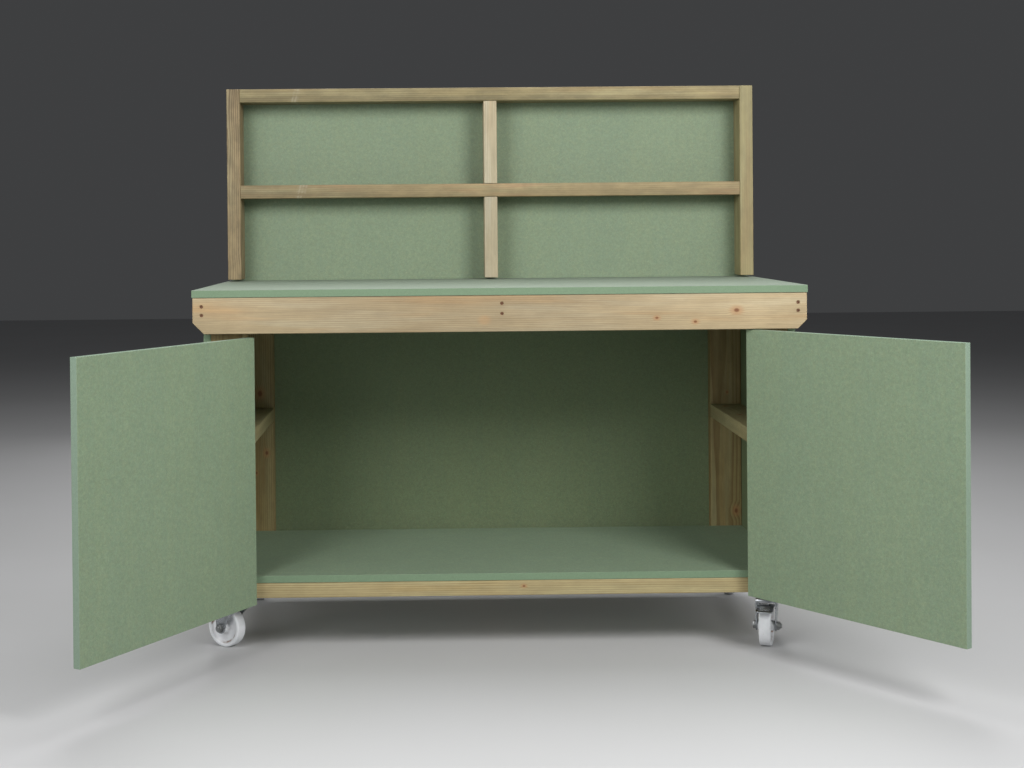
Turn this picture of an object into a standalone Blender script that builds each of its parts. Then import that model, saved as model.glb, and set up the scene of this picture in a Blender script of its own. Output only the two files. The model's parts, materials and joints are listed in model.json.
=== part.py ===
"""Potting bench on castors: a timber frame with green board panels, an upper
frame with two bays above and two below its middle rail, and a two-door cupboard.

Frame: +X to the bench's right seen from the front, +Y to the back, +Z up.
The origin is on the floor, under the middle of the worktop.  Metres.
"""

import math

import bmesh
import bpy
from mathutils import Vector

# ---------------------------------------------------------------- dimensions

# Stock: sawn and planed timber with eased edges, and one thickness of board.
TIMBER_THIN = 0.038
TIMBER_WIDE = 0.089
TIMBER_MIDDLING = 0.063
BOARD = 0.018
TIMBER_ARRIS = 0.0025
BOARD_ARRIS = 0.0005
CLEARANCE = 0.0003
RUNNING_CLEARANCE = 0.0004
SAME_POINT = 1e-7

# Flats round a small hole or pin, a turned piece and a wheel.
HOLE_SIDES = 10
TURNED_SIDES = 16
WHEEL_SIDES = 28

# The bench.
WORKTOP_LENGTH = 1.500
WORKTOP_DEPTH = 0.700
WORKTOP_TOP = 0.906
FRAME_UNDERSIDE = 0.141
FRONT_OVERHANG = 0.002
APRON_HALF_LENGTH = 0.7485
APRON_CORNER_CUT = {"left": 0.025, "right": 0.020}
LEG_OUTER = 0.7095
MID_RAIL_TOP = 0.545
SHELF_SETBACK = 0.020

# The frame that stands above the worktop.
UPPER_HALF_LENGTH = 0.745
UPPER_TOP = 1.449
UPPER_GAP = 0.005
UPPER_MIDDLE = 1.1586

# The doors, hung on butt hinges between the front legs.
DOOR_HEIGHT = 0.655
DOOR_BOTTOM = {"left": 0.134, "right": 0.1425}
DOOR_OPEN = {"left": math.radians(119.9), "right": math.radians(126.7)}
DOOR_MEETING_GAP = 0.002
HINGE_SPACE = 0.0035
PIN_FORWARD = 0.0030
PIN_RADIUS = 0.0014
PIN_HEAD_RADIUS = 0.0023
PIN_HEAD_HEIGHT = 0.0010
KNUCKLE_RADIUS = 0.0030
LEAF_THICKNESS = 0.0012
LEAF_REACH = 0.0185
HINGE_LENGTH = 0.075
HINGE_INSET = 0.0725
KNUCKLES = 5

# The castors: one axis to swivel on, and a wheel that trails behind it.  Each is at
# a distance from the middle and from the worktop's front edge, turned to a heading.
CASTORS = {
    "front_left": (-0.663, 0.133, math.radians(-123.4)),
    "front_right": (0.6755, 0.133, math.radians(-18.0)),
    "back_left": (-0.664, 0.602, math.radians(-170.0)),
    "back_right": (0.664, 0.602, math.radians(165.0)),
}
TRAIL = 0.036

WHEEL_RADIUS = 0.050
WHEEL_HALF_WIDTH = 0.015
TREAD_ROUND = 0.0045
RIM_DEPTH = 0.0085
RIM_SLOPE = 0.0015
WEB_HALF_WIDTH = 0.0075
HUB_RADIUS = 0.0125
HUB_SLOPE = 0.003
HUB_HALF_WIDTH = 0.0215

PLATE_THICKNESS = 0.004
PLATE_X = 0.080
PLATE_Y = 0.105
PLATE_CORNER = 0.006
PLATE_HOLE_X = 0.060
PLATE_HOLE_Y = 0.080
PLATE_HOLE_RADIUS = 0.0045
KINGPIN_RADIUS = 0.006
KINGPIN_HEAD_RADIUS = 0.010
KINGPIN_HEAD_HEIGHT = 0.004
KINGPIN_HEAD_SLOPE = 0.002
RACEWAY_RADIUS = 0.027
RACEWAY_SLOPE = 0.003

CROWN_UNDERSIDE = 0.118
CROWN_THICKNESS = 0.0035
CROWN_BACK = 0.028
CROWN_FRONT = -0.044
CROWN_SKIRT = 0.107
HOUSING_TOP = 0.1297
HOUSING_ROUND = 0.004
FORK_OUTER = 0.0255
FORK_THICKNESS = 0.003
EYE_RADIUS = 0.014
NOSE_FRONT = -0.0535
NOSE_SLOPE = 0.003
NOSE_BOTTOM = 0.096
BRIDGE_BACK = -0.041
BRIDGE_BOTTOM = 0.109

AXLE_RADIUS = 0.0057
HEXAGON_RADIUS = 0.0108
BOLT_HEAD_HEIGHT = 0.0070
NUT_HEIGHT = 0.0095
THREAD_END = 0.0030

PEDAL_PIVOT = Vector((0.0, -0.0475, 0.1035))
PEDAL_PIN_RADIUS = 0.0025
PEDAL_PIN_PROUD = 0.0010
PEDAL_TUBE_RADIUS = 0.003
PEDAL_THICKNESS = 0.0022
PEDAL_HALF_WIDTH = 0.0215
PEDAL_REACH = 0.045
PEDAL_DROP = 0.007
PEDAL_LIP = 0.003

# Worked out from the dimensions above.
FRONT = -WORKTOP_DEPTH / 2
BACK = WORKTOP_DEPTH / 2
APRON_FRONT = FRONT + FRONT_OVERHANG
FRAME_FRONT = APRON_FRONT + TIMBER_THIN
FRAME_BACK = BACK - TIMBER_THIN
LEG_FRONT_INNER = FRAME_FRONT + TIMBER_THIN
LEG_BACK_INNER = FRAME_BACK - TIMBER_THIN
LEG_INNER = LEG_OUTER - TIMBER_WIDE
SIDE_RAIL_OUTER = LEG_OUTER + TIMBER_THIN
PANEL_OUTER = LEG_OUTER + BOARD
APRON_TOP = WORKTOP_TOP - BOARD
APRON_BOTTOM = APRON_TOP - TIMBER_WIDE
TOP_RAIL_BOTTOM = APRON_TOP - TIMBER_MIDDLING
RAIL_TOP = FRAME_UNDERSIDE + TIMBER_THIN
SHELF_TOP = RAIL_TOP + BOARD
SHELF_FRONT = FRAME_FRONT + SHELF_SETBACK
UPPER_FRONT = BACK - TIMBER_WIDE
UPPER_BOTTOM = WORKTOP_TOP + UPPER_GAP
PIN_X = LEG_INNER - HINGE_SPACE / 2
PIN_Y = FRAME_FRONT - PIN_FORWARD
DOOR_WIDTH = PIN_X - HINGE_SPACE / 2 - DOOR_MEETING_GAP / 2
PLATE_UNDERSIDE = FRAME_UNDERSIDE - PLATE_THICKNESS
FORK_INNER = FORK_OUTER - FORK_THICKNESS

# Cutters run this far past what they cut, and reach this far where nothing ends them.
THROUGH = 0.01
FAR_AWAY = 0.1

SIDES = (("left", -1), ("right", 1))


# ----------------------------------------------------------------- materials

def srgb(red, green, blue):
    """Turn display values of 0 to 255 into the linear values a shader takes."""
    def linear(value):
        share = value / 255
        if share <= 0.04045:
            return share / 12.92
        return ((share + 0.055) / 1.055) ** 2.4
    return linear(red), linear(green), linear(blue), 1.0


def material(name, colour, roughness, metallic=0.0):
    """A Principled material that every object of one stuff starts from."""
    made = bpy.data.materials.new(name)
    made.use_nodes = True
    shader = made.node_tree.nodes["Principled BSDF"]
    shader.inputs["Base Color"].default_value = colour
    shader.inputs["Roughness"].default_value = roughness
    shader.inputs["Metallic"].default_value = metallic
    made.diffuse_color = colour
    return made


LOOKS = {
    "board": (srgb(134, 152, 124), 0.75, 0.0),
    "worktop_board": (srgb(150, 164, 146), 0.70, 0.0),
    "straw_timber": (srgb(193, 178, 144), 0.65, 0.0),
    "olive_timber": (srgb(166, 152, 110), 0.65, 0.0),
    "brown_timber": (srgb(160, 138, 96), 0.65, 0.0),
    "zinc": (srgb(168, 172, 176), 0.35, 1.0),
    "nylon": (srgb(226, 228, 230), 0.45, 0.0),
}


def dress(thing, look):
    """Give an object its own material, so that each can be changed alone."""
    thing.data.materials.clear()
    thing.data.materials.append(material(thing.name, *LOOKS[look]))


# ------------------------------------------------------------- mesh helpers

def new_object(name, mesh, parent=None, location=(0, 0, 0)):
    thing = bpy.data.objects.new(name, mesh)
    bpy.context.scene.collection.objects.link(thing)
    thing.location = location
    thing.parent = parent
    return thing


def mesh_from(name, bm):
    """Close a bmesh into a mesh with its faces pointing out."""
    bmesh.ops.remove_doubles(bm, verts=bm.verts, dist=SAME_POINT)
    bmesh.ops.recalc_face_normals(bm, faces=bm.faces)
    mesh = bpy.data.meshes.new(name)
    bm.to_mesh(mesh)
    bm.free()
    return mesh


def eased(bm, width):
    """Ease every outer edge of a flat-sided solid by a small chamfer."""
    bmesh.ops.recalc_face_normals(bm, faces=bm.faces)
    outer = [edge for edge in bm.edges if edge.is_convex]
    bmesh.ops.bevel(bm, geom=outer, offset=width, segments=1, affect="EDGES", clamp_overlap=True)


def board(name, low, high, look, arris):
    """A rectangular piece between two corners, a hair small all round."""
    low = Vector(low)
    high = Vector(high)
    bm = bmesh.new()
    size = high - low - Vector((CLEARANCE,) * 3)
    bmesh.ops.create_cube(bm, size=1.0)
    bmesh.ops.scale(bm, vec=size, verts=bm.verts)
    eased(bm, arris)
    thing = new_object(name, mesh_from(name, bm), location=(low + high) / 2)
    dress(thing, look)
    return thing


def timber(name, low, high, look="brown_timber"):
    return board(name, low, high, look, TIMBER_ARRIS)


def panel(name, low, high, look="board"):
    return board(name, low, high, look, BOARD_ARRIS)


def prism(outline, low, high, place):
    """Extrude an outline of (u, v) points; place(u, v, w) gives the corner."""
    bm = bmesh.new()
    rings = []
    for level in (low, high):
        rings.append([bm.verts.new(place(u, v, level)) for u, v in outline])
    count = len(outline)
    for i in range(count):
        j = (i + 1) % count
        bm.faces.new((rings[0][i], rings[0][j], rings[1][j], rings[1][i]))
    bm.faces.new(reversed(rings[0]))
    bm.faces.new(rings[1])
    return bm


def turned(profile, segments, place, phase=0.0, rounding=None):
    """Turn a closed profile of (radius, height) points about an axis.

    place(x, y, h) puts a point; rounding(angle, i) may scale profile point i's
    radius at an angle, which turns a circle into a hexagon.
    """
    bm = bmesh.new()
    rings = []
    for step in range(segments):
        angle = 2 * math.pi * (step + phase) / segments
        ring = []
        for i, (radius, height) in enumerate(profile):
            reach = radius * (rounding(angle, i) if rounding else 1.0)
            ring.append(bm.verts.new(place(reach * math.cos(angle), reach * math.sin(angle), height)))
        rings.append(ring)
    count = len(profile)
    for a in range(segments):
        b = (a + 1) % segments
        for i in range(count):
            j = (i + 1) % count
            on_axis = profile[i][0] == 0 and profile[j][0] == 0
            if not on_axis:
                bm.faces.new((rings[a][i], rings[b][i], rings[b][j], rings[a][j]))
    return bm


def upright(x, y, height):
    return x, y, height


def along_x(x, y, height):
    return height, x, y


def cylinder(radius, low, high, segments, place, phase=0.0):
    """A plain cylinder, closed at both ends."""
    outline = []
    for step in range(segments):
        angle = 2 * math.pi * (step + phase) / segments
        outline.append((radius * math.cos(angle), radius * math.sin(angle)))
    return prism(outline, low, high, place)


def combined(name, start, steps):
    """Apply Boolean steps of (operation, bmesh) to a bmesh; return one mesh."""
    base = new_object(name, mesh_from(name, start))
    helpers = []
    for operation, shape in steps:
        helper = new_object(name + "_tool", mesh_from(name + "_tool", shape))
        helper.hide_render = True
        helper.display_type = "WIRE"
        modifier = base.modifiers.new(operation, "BOOLEAN")
        modifier.operation = operation
        modifier.solver = "EXACT"
        modifier.object = helper
        helpers.append(helper)
    bpy.context.view_layer.update()
    finished = base.evaluated_get(bpy.context.evaluated_depsgraph_get())
    mesh = bpy.data.meshes.new_from_object(finished)
    mesh.name = name
    for helper in helpers + [base]:
        bpy.data.objects.remove(helper, do_unlink=True)
    return mesh


def rounded_shading(mesh, angle=math.radians(35)):
    mesh.shade_smooth()
    mesh.set_sharp_from_angle(angle=angle)


# ---------------------------------------------------------- bench: the frame

def make_apron(name, y_low, y_high):
    """A long rail under the worktop's edge, its lower corners cut off."""
    half = APRON_HALF_LENGTH - CLEARANCE / 2
    low = APRON_BOTTOM + CLEARANCE / 2
    high = APRON_TOP - CLEARANCE / 2
    left = APRON_CORNER_CUT["left"]
    right = APRON_CORNER_CUT["right"]
    outline = [
        (-half, high),
        (-half, low + left),
        (-half + left, low),
        (half - right, low),
        (half, low + right),
        (half, high),
    ]
    bm = prism(outline, y_low + CLEARANCE / 2, y_high - CLEARANCE / 2, lambda x, z, y: (x, y, z))
    eased(bm, TIMBER_ARRIS)
    thing = new_object(name, mesh_from(name, bm))
    dress(thing, "straw_timber")


def make_top_frame():
    panel("worktop", (-WORKTOP_LENGTH / 2, FRONT, APRON_TOP),
          (WORKTOP_LENGTH / 2, BACK, WORKTOP_TOP), "worktop_board")
    make_apron("front_apron", APRON_FRONT, FRAME_FRONT)
    make_apron("back_apron", FRAME_BACK, BACK)
    for side, sign in SIDES:
        inner, outer = sorted((sign * LEG_OUTER, sign * SIDE_RAIL_OUTER))
        timber("top_side_rail_" + side, (inner, FRAME_FRONT, TOP_RAIL_BOTTOM),
               (outer, FRAME_BACK, APRON_TOP), "straw_timber")
    timber("top_cross_rail", (-TIMBER_THIN / 2, FRAME_FRONT, TOP_RAIL_BOTTOM),
           (TIMBER_THIN / 2, FRAME_BACK, APRON_TOP))


def make_legs_and_side_rails():
    for side, sign in SIDES:
        inner, outer = sorted((sign * LEG_INNER, sign * LEG_OUTER))
        for end, y_low, y_high in (("front", FRAME_FRONT, LEG_FRONT_INNER),
                                   ("back", LEG_BACK_INNER, FRAME_BACK)):
            timber("leg_" + end + "_" + side, (inner, y_low, FRAME_UNDERSIDE), (outer, y_high, APRON_TOP))
        timber("mid_side_rail_" + side, (inner, LEG_FRONT_INNER, MID_RAIL_TOP - TIMBER_THIN),
               (outer, LEG_BACK_INNER, MID_RAIL_TOP))
        timber("bottom_side_rail_" + side, (inner, LEG_FRONT_INNER, FRAME_UNDERSIDE),
               (outer, LEG_BACK_INNER, RAIL_TOP))


def make_bottom_frame():
    rail_back = SHELF_FRONT + TIMBER_WIDE
    timber("bottom_front_rail", (-LEG_INNER, SHELF_FRONT, FRAME_UNDERSIDE), (LEG_INNER, rail_back, RAIL_TOP))
    rail_front = LEG_BACK_INNER - TIMBER_WIDE
    timber("bottom_back_rail", (-LEG_INNER, rail_front, FRAME_UNDERSIDE), (LEG_INNER, LEG_BACK_INNER, RAIL_TOP))
    timber("bottom_cross_rail", (-TIMBER_WIDE / 2, rail_back, FRAME_UNDERSIDE),
           (TIMBER_WIDE / 2, rail_front, RAIL_TOP))


def make_shelf():
    """The cupboard's floor, notched at its front corners round the legs."""
    half = LEG_OUTER - CLEARANCE / 2
    notch = LEG_INNER - CLEARANCE / 2
    front = SHELF_FRONT + CLEARANCE / 2
    leg_line = LEG_FRONT_INNER + CLEARANCE / 2
    back = LEG_BACK_INNER - CLEARANCE / 2
    outline = [
        (-notch, front),
        (notch, front),
        (notch, leg_line),
        (half, leg_line),
        (half, back),
        (-half, back),
        (-half, leg_line),
        (-notch, leg_line),
    ]
    bm = prism(outline, RAIL_TOP + CLEARANCE / 2, SHELF_TOP - CLEARANCE / 2, lambda x, y, z: (x, y, z))
    eased(bm, BOARD_ARRIS)
    thing = new_object("bottom_shelf", mesh_from("bottom_shelf", bm))
    dress(thing, "board")


def make_panels():
    for side, sign in SIDES:
        inner, outer = sorted((sign * LEG_OUTER, sign * PANEL_OUTER))
        panel("side_panel_" + side, (inner, FRAME_FRONT, FRAME_UNDERSIDE), (outer, FRAME_BACK, TOP_RAIL_BOTTOM))
    panel("lower_back_panel", (-PANEL_OUTER, FRAME_BACK, FRAME_UNDERSIDE),
          (PANEL_OUTER, FRAME_BACK + BOARD, APRON_BOTTOM))
    panel("upper_back_panel", (-UPPER_HALF_LENGTH, BACK, APRON_BOTTOM),
          (UPPER_HALF_LENGTH, BACK + BOARD, UPPER_TOP))


# ------------------------------------------------------- the frame above it

def make_upper_frame():
    rail_half = UPPER_HALF_LENGTH - TIMBER_THIN
    top_low = UPPER_TOP - TIMBER_THIN
    middle_low = UPPER_MIDDLE - TIMBER_THIN / 2
    middle_high = UPPER_MIDDLE + TIMBER_THIN / 2
    for side, sign in SIDES:
        inner, outer = sorted((sign * rail_half, sign * UPPER_HALF_LENGTH))
        timber("upper_post_" + side, (inner, UPPER_FRONT, UPPER_BOTTOM), (outer, BACK, UPPER_TOP), "olive_timber")
    timber("upper_top_rail", (-rail_half, UPPER_FRONT, top_low), (rail_half, BACK, UPPER_TOP), "olive_timber")
    timber("upper_middle_rail", (-rail_half, UPPER_FRONT, middle_low), (rail_half, BACK, middle_high),
           "olive_timber")
    half = TIMBER_THIN / 2
    timber("upper_centre_post_top", (-half, UPPER_FRONT, middle_high), (half, BACK, top_low), "straw_timber")
    timber("upper_centre_post_bottom", (-half, UPPER_FRONT, UPPER_BOTTOM), (half, BACK, middle_low),
           "straw_timber")


# ------------------------------------------------------------ doors, hinges

def leaf_mesh(name, inward, first_knuckle):
    """One leaf of a butt hinge about a pin on the local Z axis.

    inward is +1 for a leaf on the +X side of the pin and -1 for the other.
    The leaf's knuckles are every second one, from first_knuckle on.
    """
    x_far = inward * (HINGE_SPACE / 2 - CLEARANCE)
    x_near = x_far - inward * LEAF_THICKNESS
    x_low, x_high = sorted((x_near, x_far))
    pitch = HINGE_LENGTH / KNUCKLES
    plate_front = KNUCKLE_RADIUS + CLEARANCE
    bm = prism([(x_low, plate_front), (x_high, plate_front), (x_high, LEAF_REACH), (x_low, LEAF_REACH)],
               0.0, HINGE_LENGTH, upright)
    steps = []
    for index in range(first_knuckle, KNUCKLES, 2):
        low = index * pitch + CLEARANCE / 2
        high = (index + 1) * pitch - CLEARANCE / 2
        tail_end = plate_front + LEAF_THICKNESS
        tail = [(x_low, 0.0), (x_high, 0.0), (x_high, tail_end), (x_low, tail_end)]
        steps.append(("UNION", prism(tail, low, high, upright)))
        steps.append(("UNION", cylinder(KNUCKLE_RADIUS, low, high, HOLE_SIDES, upright, 0.5)))
    bore = PIN_RADIUS + RUNNING_CLEARANCE
    steps.append(("DIFFERENCE", cylinder(bore, -THROUGH, HINGE_LENGTH + THROUGH, HOLE_SIDES, upright, 0.5)))
    mesh = combined(name, bm, steps)
    rounded_shading(mesh)
    return mesh


def pin_mesh():
    """A hinge pin with a small button head at each end."""
    reach = PIN_HEAD_HEIGHT
    profile = [
        (0.0, -reach),
        (PIN_HEAD_RADIUS, -reach),
        (PIN_HEAD_RADIUS, -CLEARANCE),
        (PIN_RADIUS, -CLEARANCE),
        (PIN_RADIUS, HINGE_LENGTH + CLEARANCE),
        (PIN_HEAD_RADIUS, HINGE_LENGTH + CLEARANCE),
        (PIN_HEAD_RADIUS, HINGE_LENGTH + reach),
        (0.0, HINGE_LENGTH + reach),
    ]
    mesh = mesh_from("hinge_pin", turned(profile, HOLE_SIDES, upright, 0.5))
    rounded_shading(mesh)
    return mesh


def make_doors():
    pin = pin_mesh()
    leaves = {
        ("left", "frame"): leaf_mesh("leaf_left_frame", -1, 0),
        ("left", "door"): leaf_mesh("leaf_left_door", 1, 1),
        ("right", "frame"): leaf_mesh("leaf_right_frame", 1, 0),
        ("right", "door"): leaf_mesh("leaf_right_door", -1, 1),
    }
    for side, sign in SIDES:
        bottom = DOOR_BOTTOM[side]
        pivot = new_object("door_pivot_" + side, None, location=(sign * PIN_X, PIN_Y, 0.0))
        pivot.rotation_euler.z = sign * DOOR_OPEN[side]
        edge = -sign * HINGE_SPACE / 2
        x_low, x_high = sorted((edge, edge - sign * DOOR_WIDTH))
        bm = prism([(x_low, PIN_FORWARD), (x_high, PIN_FORWARD), (x_high, PIN_FORWARD + BOARD),
                    (x_low, PIN_FORWARD + BOARD)], bottom, bottom + DOOR_HEIGHT, upright)
        eased(bm, BOARD_ARRIS)
        door = new_object("door_" + side, mesh_from("door_" + side, bm), pivot)
        dress(door, "board")
        levels = (("top", bottom + DOOR_HEIGHT - HINGE_INSET - HINGE_LENGTH), ("bottom", bottom + HINGE_INSET))
        for level, height in levels:
            hinge = "hinge_" + side + "_" + level
            frame_leaf = new_object(hinge + "_frame_leaf", leaves[side, "frame"].copy(),
                                    location=(sign * PIN_X, PIN_Y, height))
            door_leaf = new_object(hinge + "_door_leaf", leaves[side, "door"].copy(), pivot, (0, 0, height))
            hinge_pin = new_object(hinge + "_pin", pin.copy(), location=(sign * PIN_X, PIN_Y, height))
            for thing in (frame_leaf, door_leaf, hinge_pin):
                dress(thing, "zinc")


# ------------------------------------------------------------------- castors

def sideways(y, z, x):
    """Place a side view's outline, extruded along X."""
    return x, y, z


def castor_plate_mesh():
    """The top plate with its four holes, the raceway under it and the kingpin."""
    half_x = PLATE_X / 2
    half_y = PLATE_Y / 2
    top = FRAME_UNDERSIDE - CLEARANCE
    low = PLATE_UNDERSIDE - CLEARANCE
    outline = [
        (-half_x + PLATE_CORNER, -half_y),
        (half_x - PLATE_CORNER, -half_y),
        (half_x, -half_y + PLATE_CORNER),
        (half_x, half_y - PLATE_CORNER),
        (half_x - PLATE_CORNER, half_y),
        (-half_x + PLATE_CORNER, half_y),
        (-half_x, half_y - PLATE_CORNER),
        (-half_x, -half_y + PLATE_CORNER),
    ]
    inside_plate = low + PLATE_THICKNESS / 4
    head_top = CROWN_UNDERSIDE - CLEARANCE
    head_low = head_top - KINGPIN_HEAD_HEIGHT
    raceway_low = HOUSING_TOP + CLEARANCE
    kingpin = [
        (0.0, head_low),
        (KINGPIN_HEAD_RADIUS - KINGPIN_HEAD_SLOPE, head_low),
        (KINGPIN_HEAD_RADIUS, head_low + KINGPIN_HEAD_SLOPE),
        (KINGPIN_HEAD_RADIUS, head_top),
        (KINGPIN_RADIUS, head_top),
        (KINGPIN_RADIUS, raceway_low),
        (RACEWAY_RADIUS - RACEWAY_SLOPE, raceway_low),
        (RACEWAY_RADIUS, raceway_low + RACEWAY_SLOPE),
        (RACEWAY_RADIUS, inside_plate),
        (0.0, inside_plate),
    ]
    steps = [("UNION", turned(kingpin, TURNED_SIDES, upright, 0.5))]
    for sign_x in (-1, 1):
        for sign_y in (-1, 1):
            hole = cylinder(PLATE_HOLE_RADIUS, low - THROUGH, top + THROUGH, HOLE_SIDES, upright, 0.5)
            bmesh.ops.translate(hole, verts=hole.verts,
                                vec=(sign_x * PLATE_HOLE_X / 2, sign_y * PLATE_HOLE_Y / 2, 0))
            steps.append(("DIFFERENCE", hole))
    mesh = combined("castor_plate", prism(outline, low, top, upright), steps)
    rounded_shading(mesh)
    return mesh


def fork_outline():
    """A fork leg seen from the side, as (y, z): a crown, a taper, an eye and a nose."""
    crown_top = CROWN_UNDERSIDE + CROWN_THICKNESS
    outline = [(CROWN_BACK, crown_top), (CROWN_BACK, CROWN_SKIRT)]
    first = math.radians(-38)
    last = math.radians(-172)
    count = 7
    for step in range(count):
        angle = first + (last - first) * step / (count - 1)
        outline.append((-TRAIL + EYE_RADIUS * math.cos(angle), WHEEL_RADIUS + EYE_RADIUS * math.sin(angle)))
    outline.extend([
        (NOSE_FRONT + NOSE_SLOPE, NOSE_BOTTOM),
        (NOSE_FRONT, NOSE_BOTTOM + NOSE_SLOPE),
        (NOSE_FRONT, CROWN_SKIRT),
        (CROWN_FRONT, crown_top - (CROWN_FRONT - NOSE_FRONT)),
        (CROWN_FRONT, crown_top),
    ])
    return outline


def fork_mesh():
    """The pressed fork: two legs, a crown with its bearing housing, and a bridge in front."""
    block = prism(fork_outline(), -FORK_OUTER, FORK_OUTER, sideways)
    behind_bridge = [(BRIDGE_BACK, 0.0), (FAR_AWAY, 0.0), (FAR_AWAY, CROWN_UNDERSIDE),
                     (BRIDGE_BACK, CROWN_UNDERSIDE)]
    under_bridge = [(-FAR_AWAY, 0.0), (FAR_AWAY, 0.0), (FAR_AWAY, BRIDGE_BOTTOM), (-FAR_AWAY, BRIDGE_BOTTOM)]
    inside_crown = CROWN_UNDERSIDE + CROWN_THICKNESS / 4
    housing = [
        (KINGPIN_RADIUS + CLEARANCE, inside_crown),
        (RACEWAY_RADIUS, inside_crown),
        (RACEWAY_RADIUS + HOUSING_ROUND / 2, inside_crown + HOUSING_ROUND),
        (RACEWAY_RADIUS, HOUSING_TOP),
        (KINGPIN_RADIUS + CLEARANCE, HOUSING_TOP),
    ]
    kingpin_hole = cylinder(KINGPIN_RADIUS + CLEARANCE, CROWN_UNDERSIDE - THROUGH, HOUSING_TOP + THROUGH,
                            TURNED_SIDES, upright, 0.5)
    side = FORK_OUTER + THROUGH
    axle_hole = cylinder(AXLE_RADIUS + CLEARANCE, -side, side, HOLE_SIDES, along_x, 0.5)
    bmesh.ops.translate(axle_hole, verts=axle_hole.verts, vec=(0, -TRAIL, WHEEL_RADIUS))
    pedal_hole = cylinder(PEDAL_PIN_RADIUS + CLEARANCE, -side, side, HOLE_SIDES, along_x, 0.5)
    bmesh.ops.translate(pedal_hole, verts=pedal_hole.verts, vec=PEDAL_PIVOT)
    mesh = combined("castor_fork", block, [
        ("DIFFERENCE", prism(behind_bridge, -FORK_INNER, FORK_INNER, sideways)),
        ("DIFFERENCE", prism(under_bridge, -FORK_INNER, FORK_INNER, sideways)),
        ("UNION", turned(housing, TURNED_SIDES, upright, 0.5)),
        ("DIFFERENCE", kingpin_hole),
        ("DIFFERENCE", axle_hole),
        ("DIFFERENCE", pedal_hole),
    ])
    rounded_shading(mesh)
    return mesh


def wheel_mesh():
    """A solid nylon wheel with a dished side, about its own axle along X.

    The polygon is drawn round the wheel's circle, so that a flat is on the floor.
    """
    flat_on_floor = 1 / math.cos(math.pi / WHEEL_SIDES)
    tread = WHEEL_RADIUS * flat_on_floor
    rim = tread - RIM_DEPTH
    half_profile = [
        (AXLE_RADIUS + CLEARANCE, HUB_HALF_WIDTH),
        (HUB_RADIUS, HUB_HALF_WIDTH),
        (HUB_RADIUS + HUB_SLOPE, WEB_HALF_WIDTH),
        (rim - RIM_SLOPE, WEB_HALF_WIDTH),
        (rim, WHEEL_HALF_WIDTH),
        (tread - TREAD_ROUND, WHEEL_HALF_WIDTH),
        (tread, WHEEL_HALF_WIDTH - TREAD_ROUND),
    ]
    mirrored = [(radius, -height) for radius, height in reversed(half_profile)]
    mesh = mesh_from("castor_wheel", turned(half_profile + mirrored, WHEEL_SIDES, along_x, 0.5))
    rounded_shading(mesh)
    return mesh


def axle_mesh():
    """The axle bolt: a hexagon head outside one fork leg and a nut outside the other."""
    outside = FORK_OUTER + CLEARANCE
    profile = [
        (0.0, -outside - BOLT_HEAD_HEIGHT),
        (HEXAGON_RADIUS, -outside - BOLT_HEAD_HEIGHT),
        (HEXAGON_RADIUS, -outside),
        (AXLE_RADIUS, -outside),
        (AXLE_RADIUS, outside),
        (HEXAGON_RADIUS, outside),
        (HEXAGON_RADIUS, outside + NUT_HEIGHT),
        (AXLE_RADIUS, outside + NUT_HEIGHT),
        (AXLE_RADIUS, outside + NUT_HEIGHT + THREAD_END),
        (0.0, outside + NUT_HEIGHT + THREAD_END),
    ]

    def rounding(angle, point):
        if profile[point][0] < HEXAGON_RADIUS:
            return 1.0
        sector = math.pi / 3
        within = angle % sector - sector / 2
        return math.cos(sector / 2) / math.cos(within)

    mesh = mesh_from("castor_axle", turned(profile, 12, along_x, 0.0, rounding))
    rounded_shading(mesh)
    return mesh


def pedal_mesh():
    """The brake pedal about its pivot along X: a cross tube, a pin and a tread plate."""
    half = PEDAL_THICKNESS / 2
    inside_tube = PEDAL_TUBE_RADIUS * 2 / 3
    plate = [
        (inside_tube, -half),
        (inside_tube, half),
        (-PEDAL_REACH, half - PEDAL_DROP),
        (-PEDAL_REACH - PEDAL_LIP, -half - PEDAL_DROP - PEDAL_LIP),
        (-PEDAL_REACH - PEDAL_LIP / 3, -half - PEDAL_DROP - PEDAL_LIP * 4 / 3),
        (-PEDAL_REACH + PEDAL_LIP / 3, -half - PEDAL_DROP),
    ]
    tube_end = FORK_INNER - CLEARANCE
    pin_end = FORK_OUTER + PEDAL_PIN_PROUD
    mesh = combined("brake_pedal", prism(plate, -PEDAL_HALF_WIDTH, PEDAL_HALF_WIDTH, sideways), [
        ("UNION", cylinder(PEDAL_TUBE_RADIUS, -tube_end, tube_end, HOLE_SIDES, along_x, 0.5)),
        ("UNION", cylinder(PEDAL_PIN_RADIUS, -pin_end, pin_end, HOLE_SIDES, along_x, 0.5)),
    ])
    rounded_shading(mesh)
    return mesh


def make_castors():
    meshes = {
        "plate": castor_plate_mesh(),
        "fork": fork_mesh(),
        "wheel": wheel_mesh(),
        "axle": axle_mesh(),
        "brake_pedal": pedal_mesh(),
    }
    for corner, (across, depth, heading) in CASTORS.items():
        centre = (across, FRONT + depth, 0.0)
        swivel = new_object("swivel_" + corner, None, location=centre)
        swivel.rotation_euler.z = heading
        axle_place = (0.0, -TRAIL, WHEEL_RADIUS)
        places = [
            ("plate", None, centre, "zinc"),
            ("fork", swivel, (0, 0, 0), "zinc"),
            ("wheel", swivel, axle_place, "nylon"),
            ("axle", swivel, axle_place, "zinc"),
        ]
        if corner.startswith("front"):
            places.append(("brake_pedal", swivel, PEDAL_PIVOT, "zinc"))
        for piece, parent, location, look in places:
            thing = new_object("castor_" + corner + "_" + piece, meshes[piece].copy(), parent, location)
            dress(thing, look)


# ----------------------------------------------------------------- the whole

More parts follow.
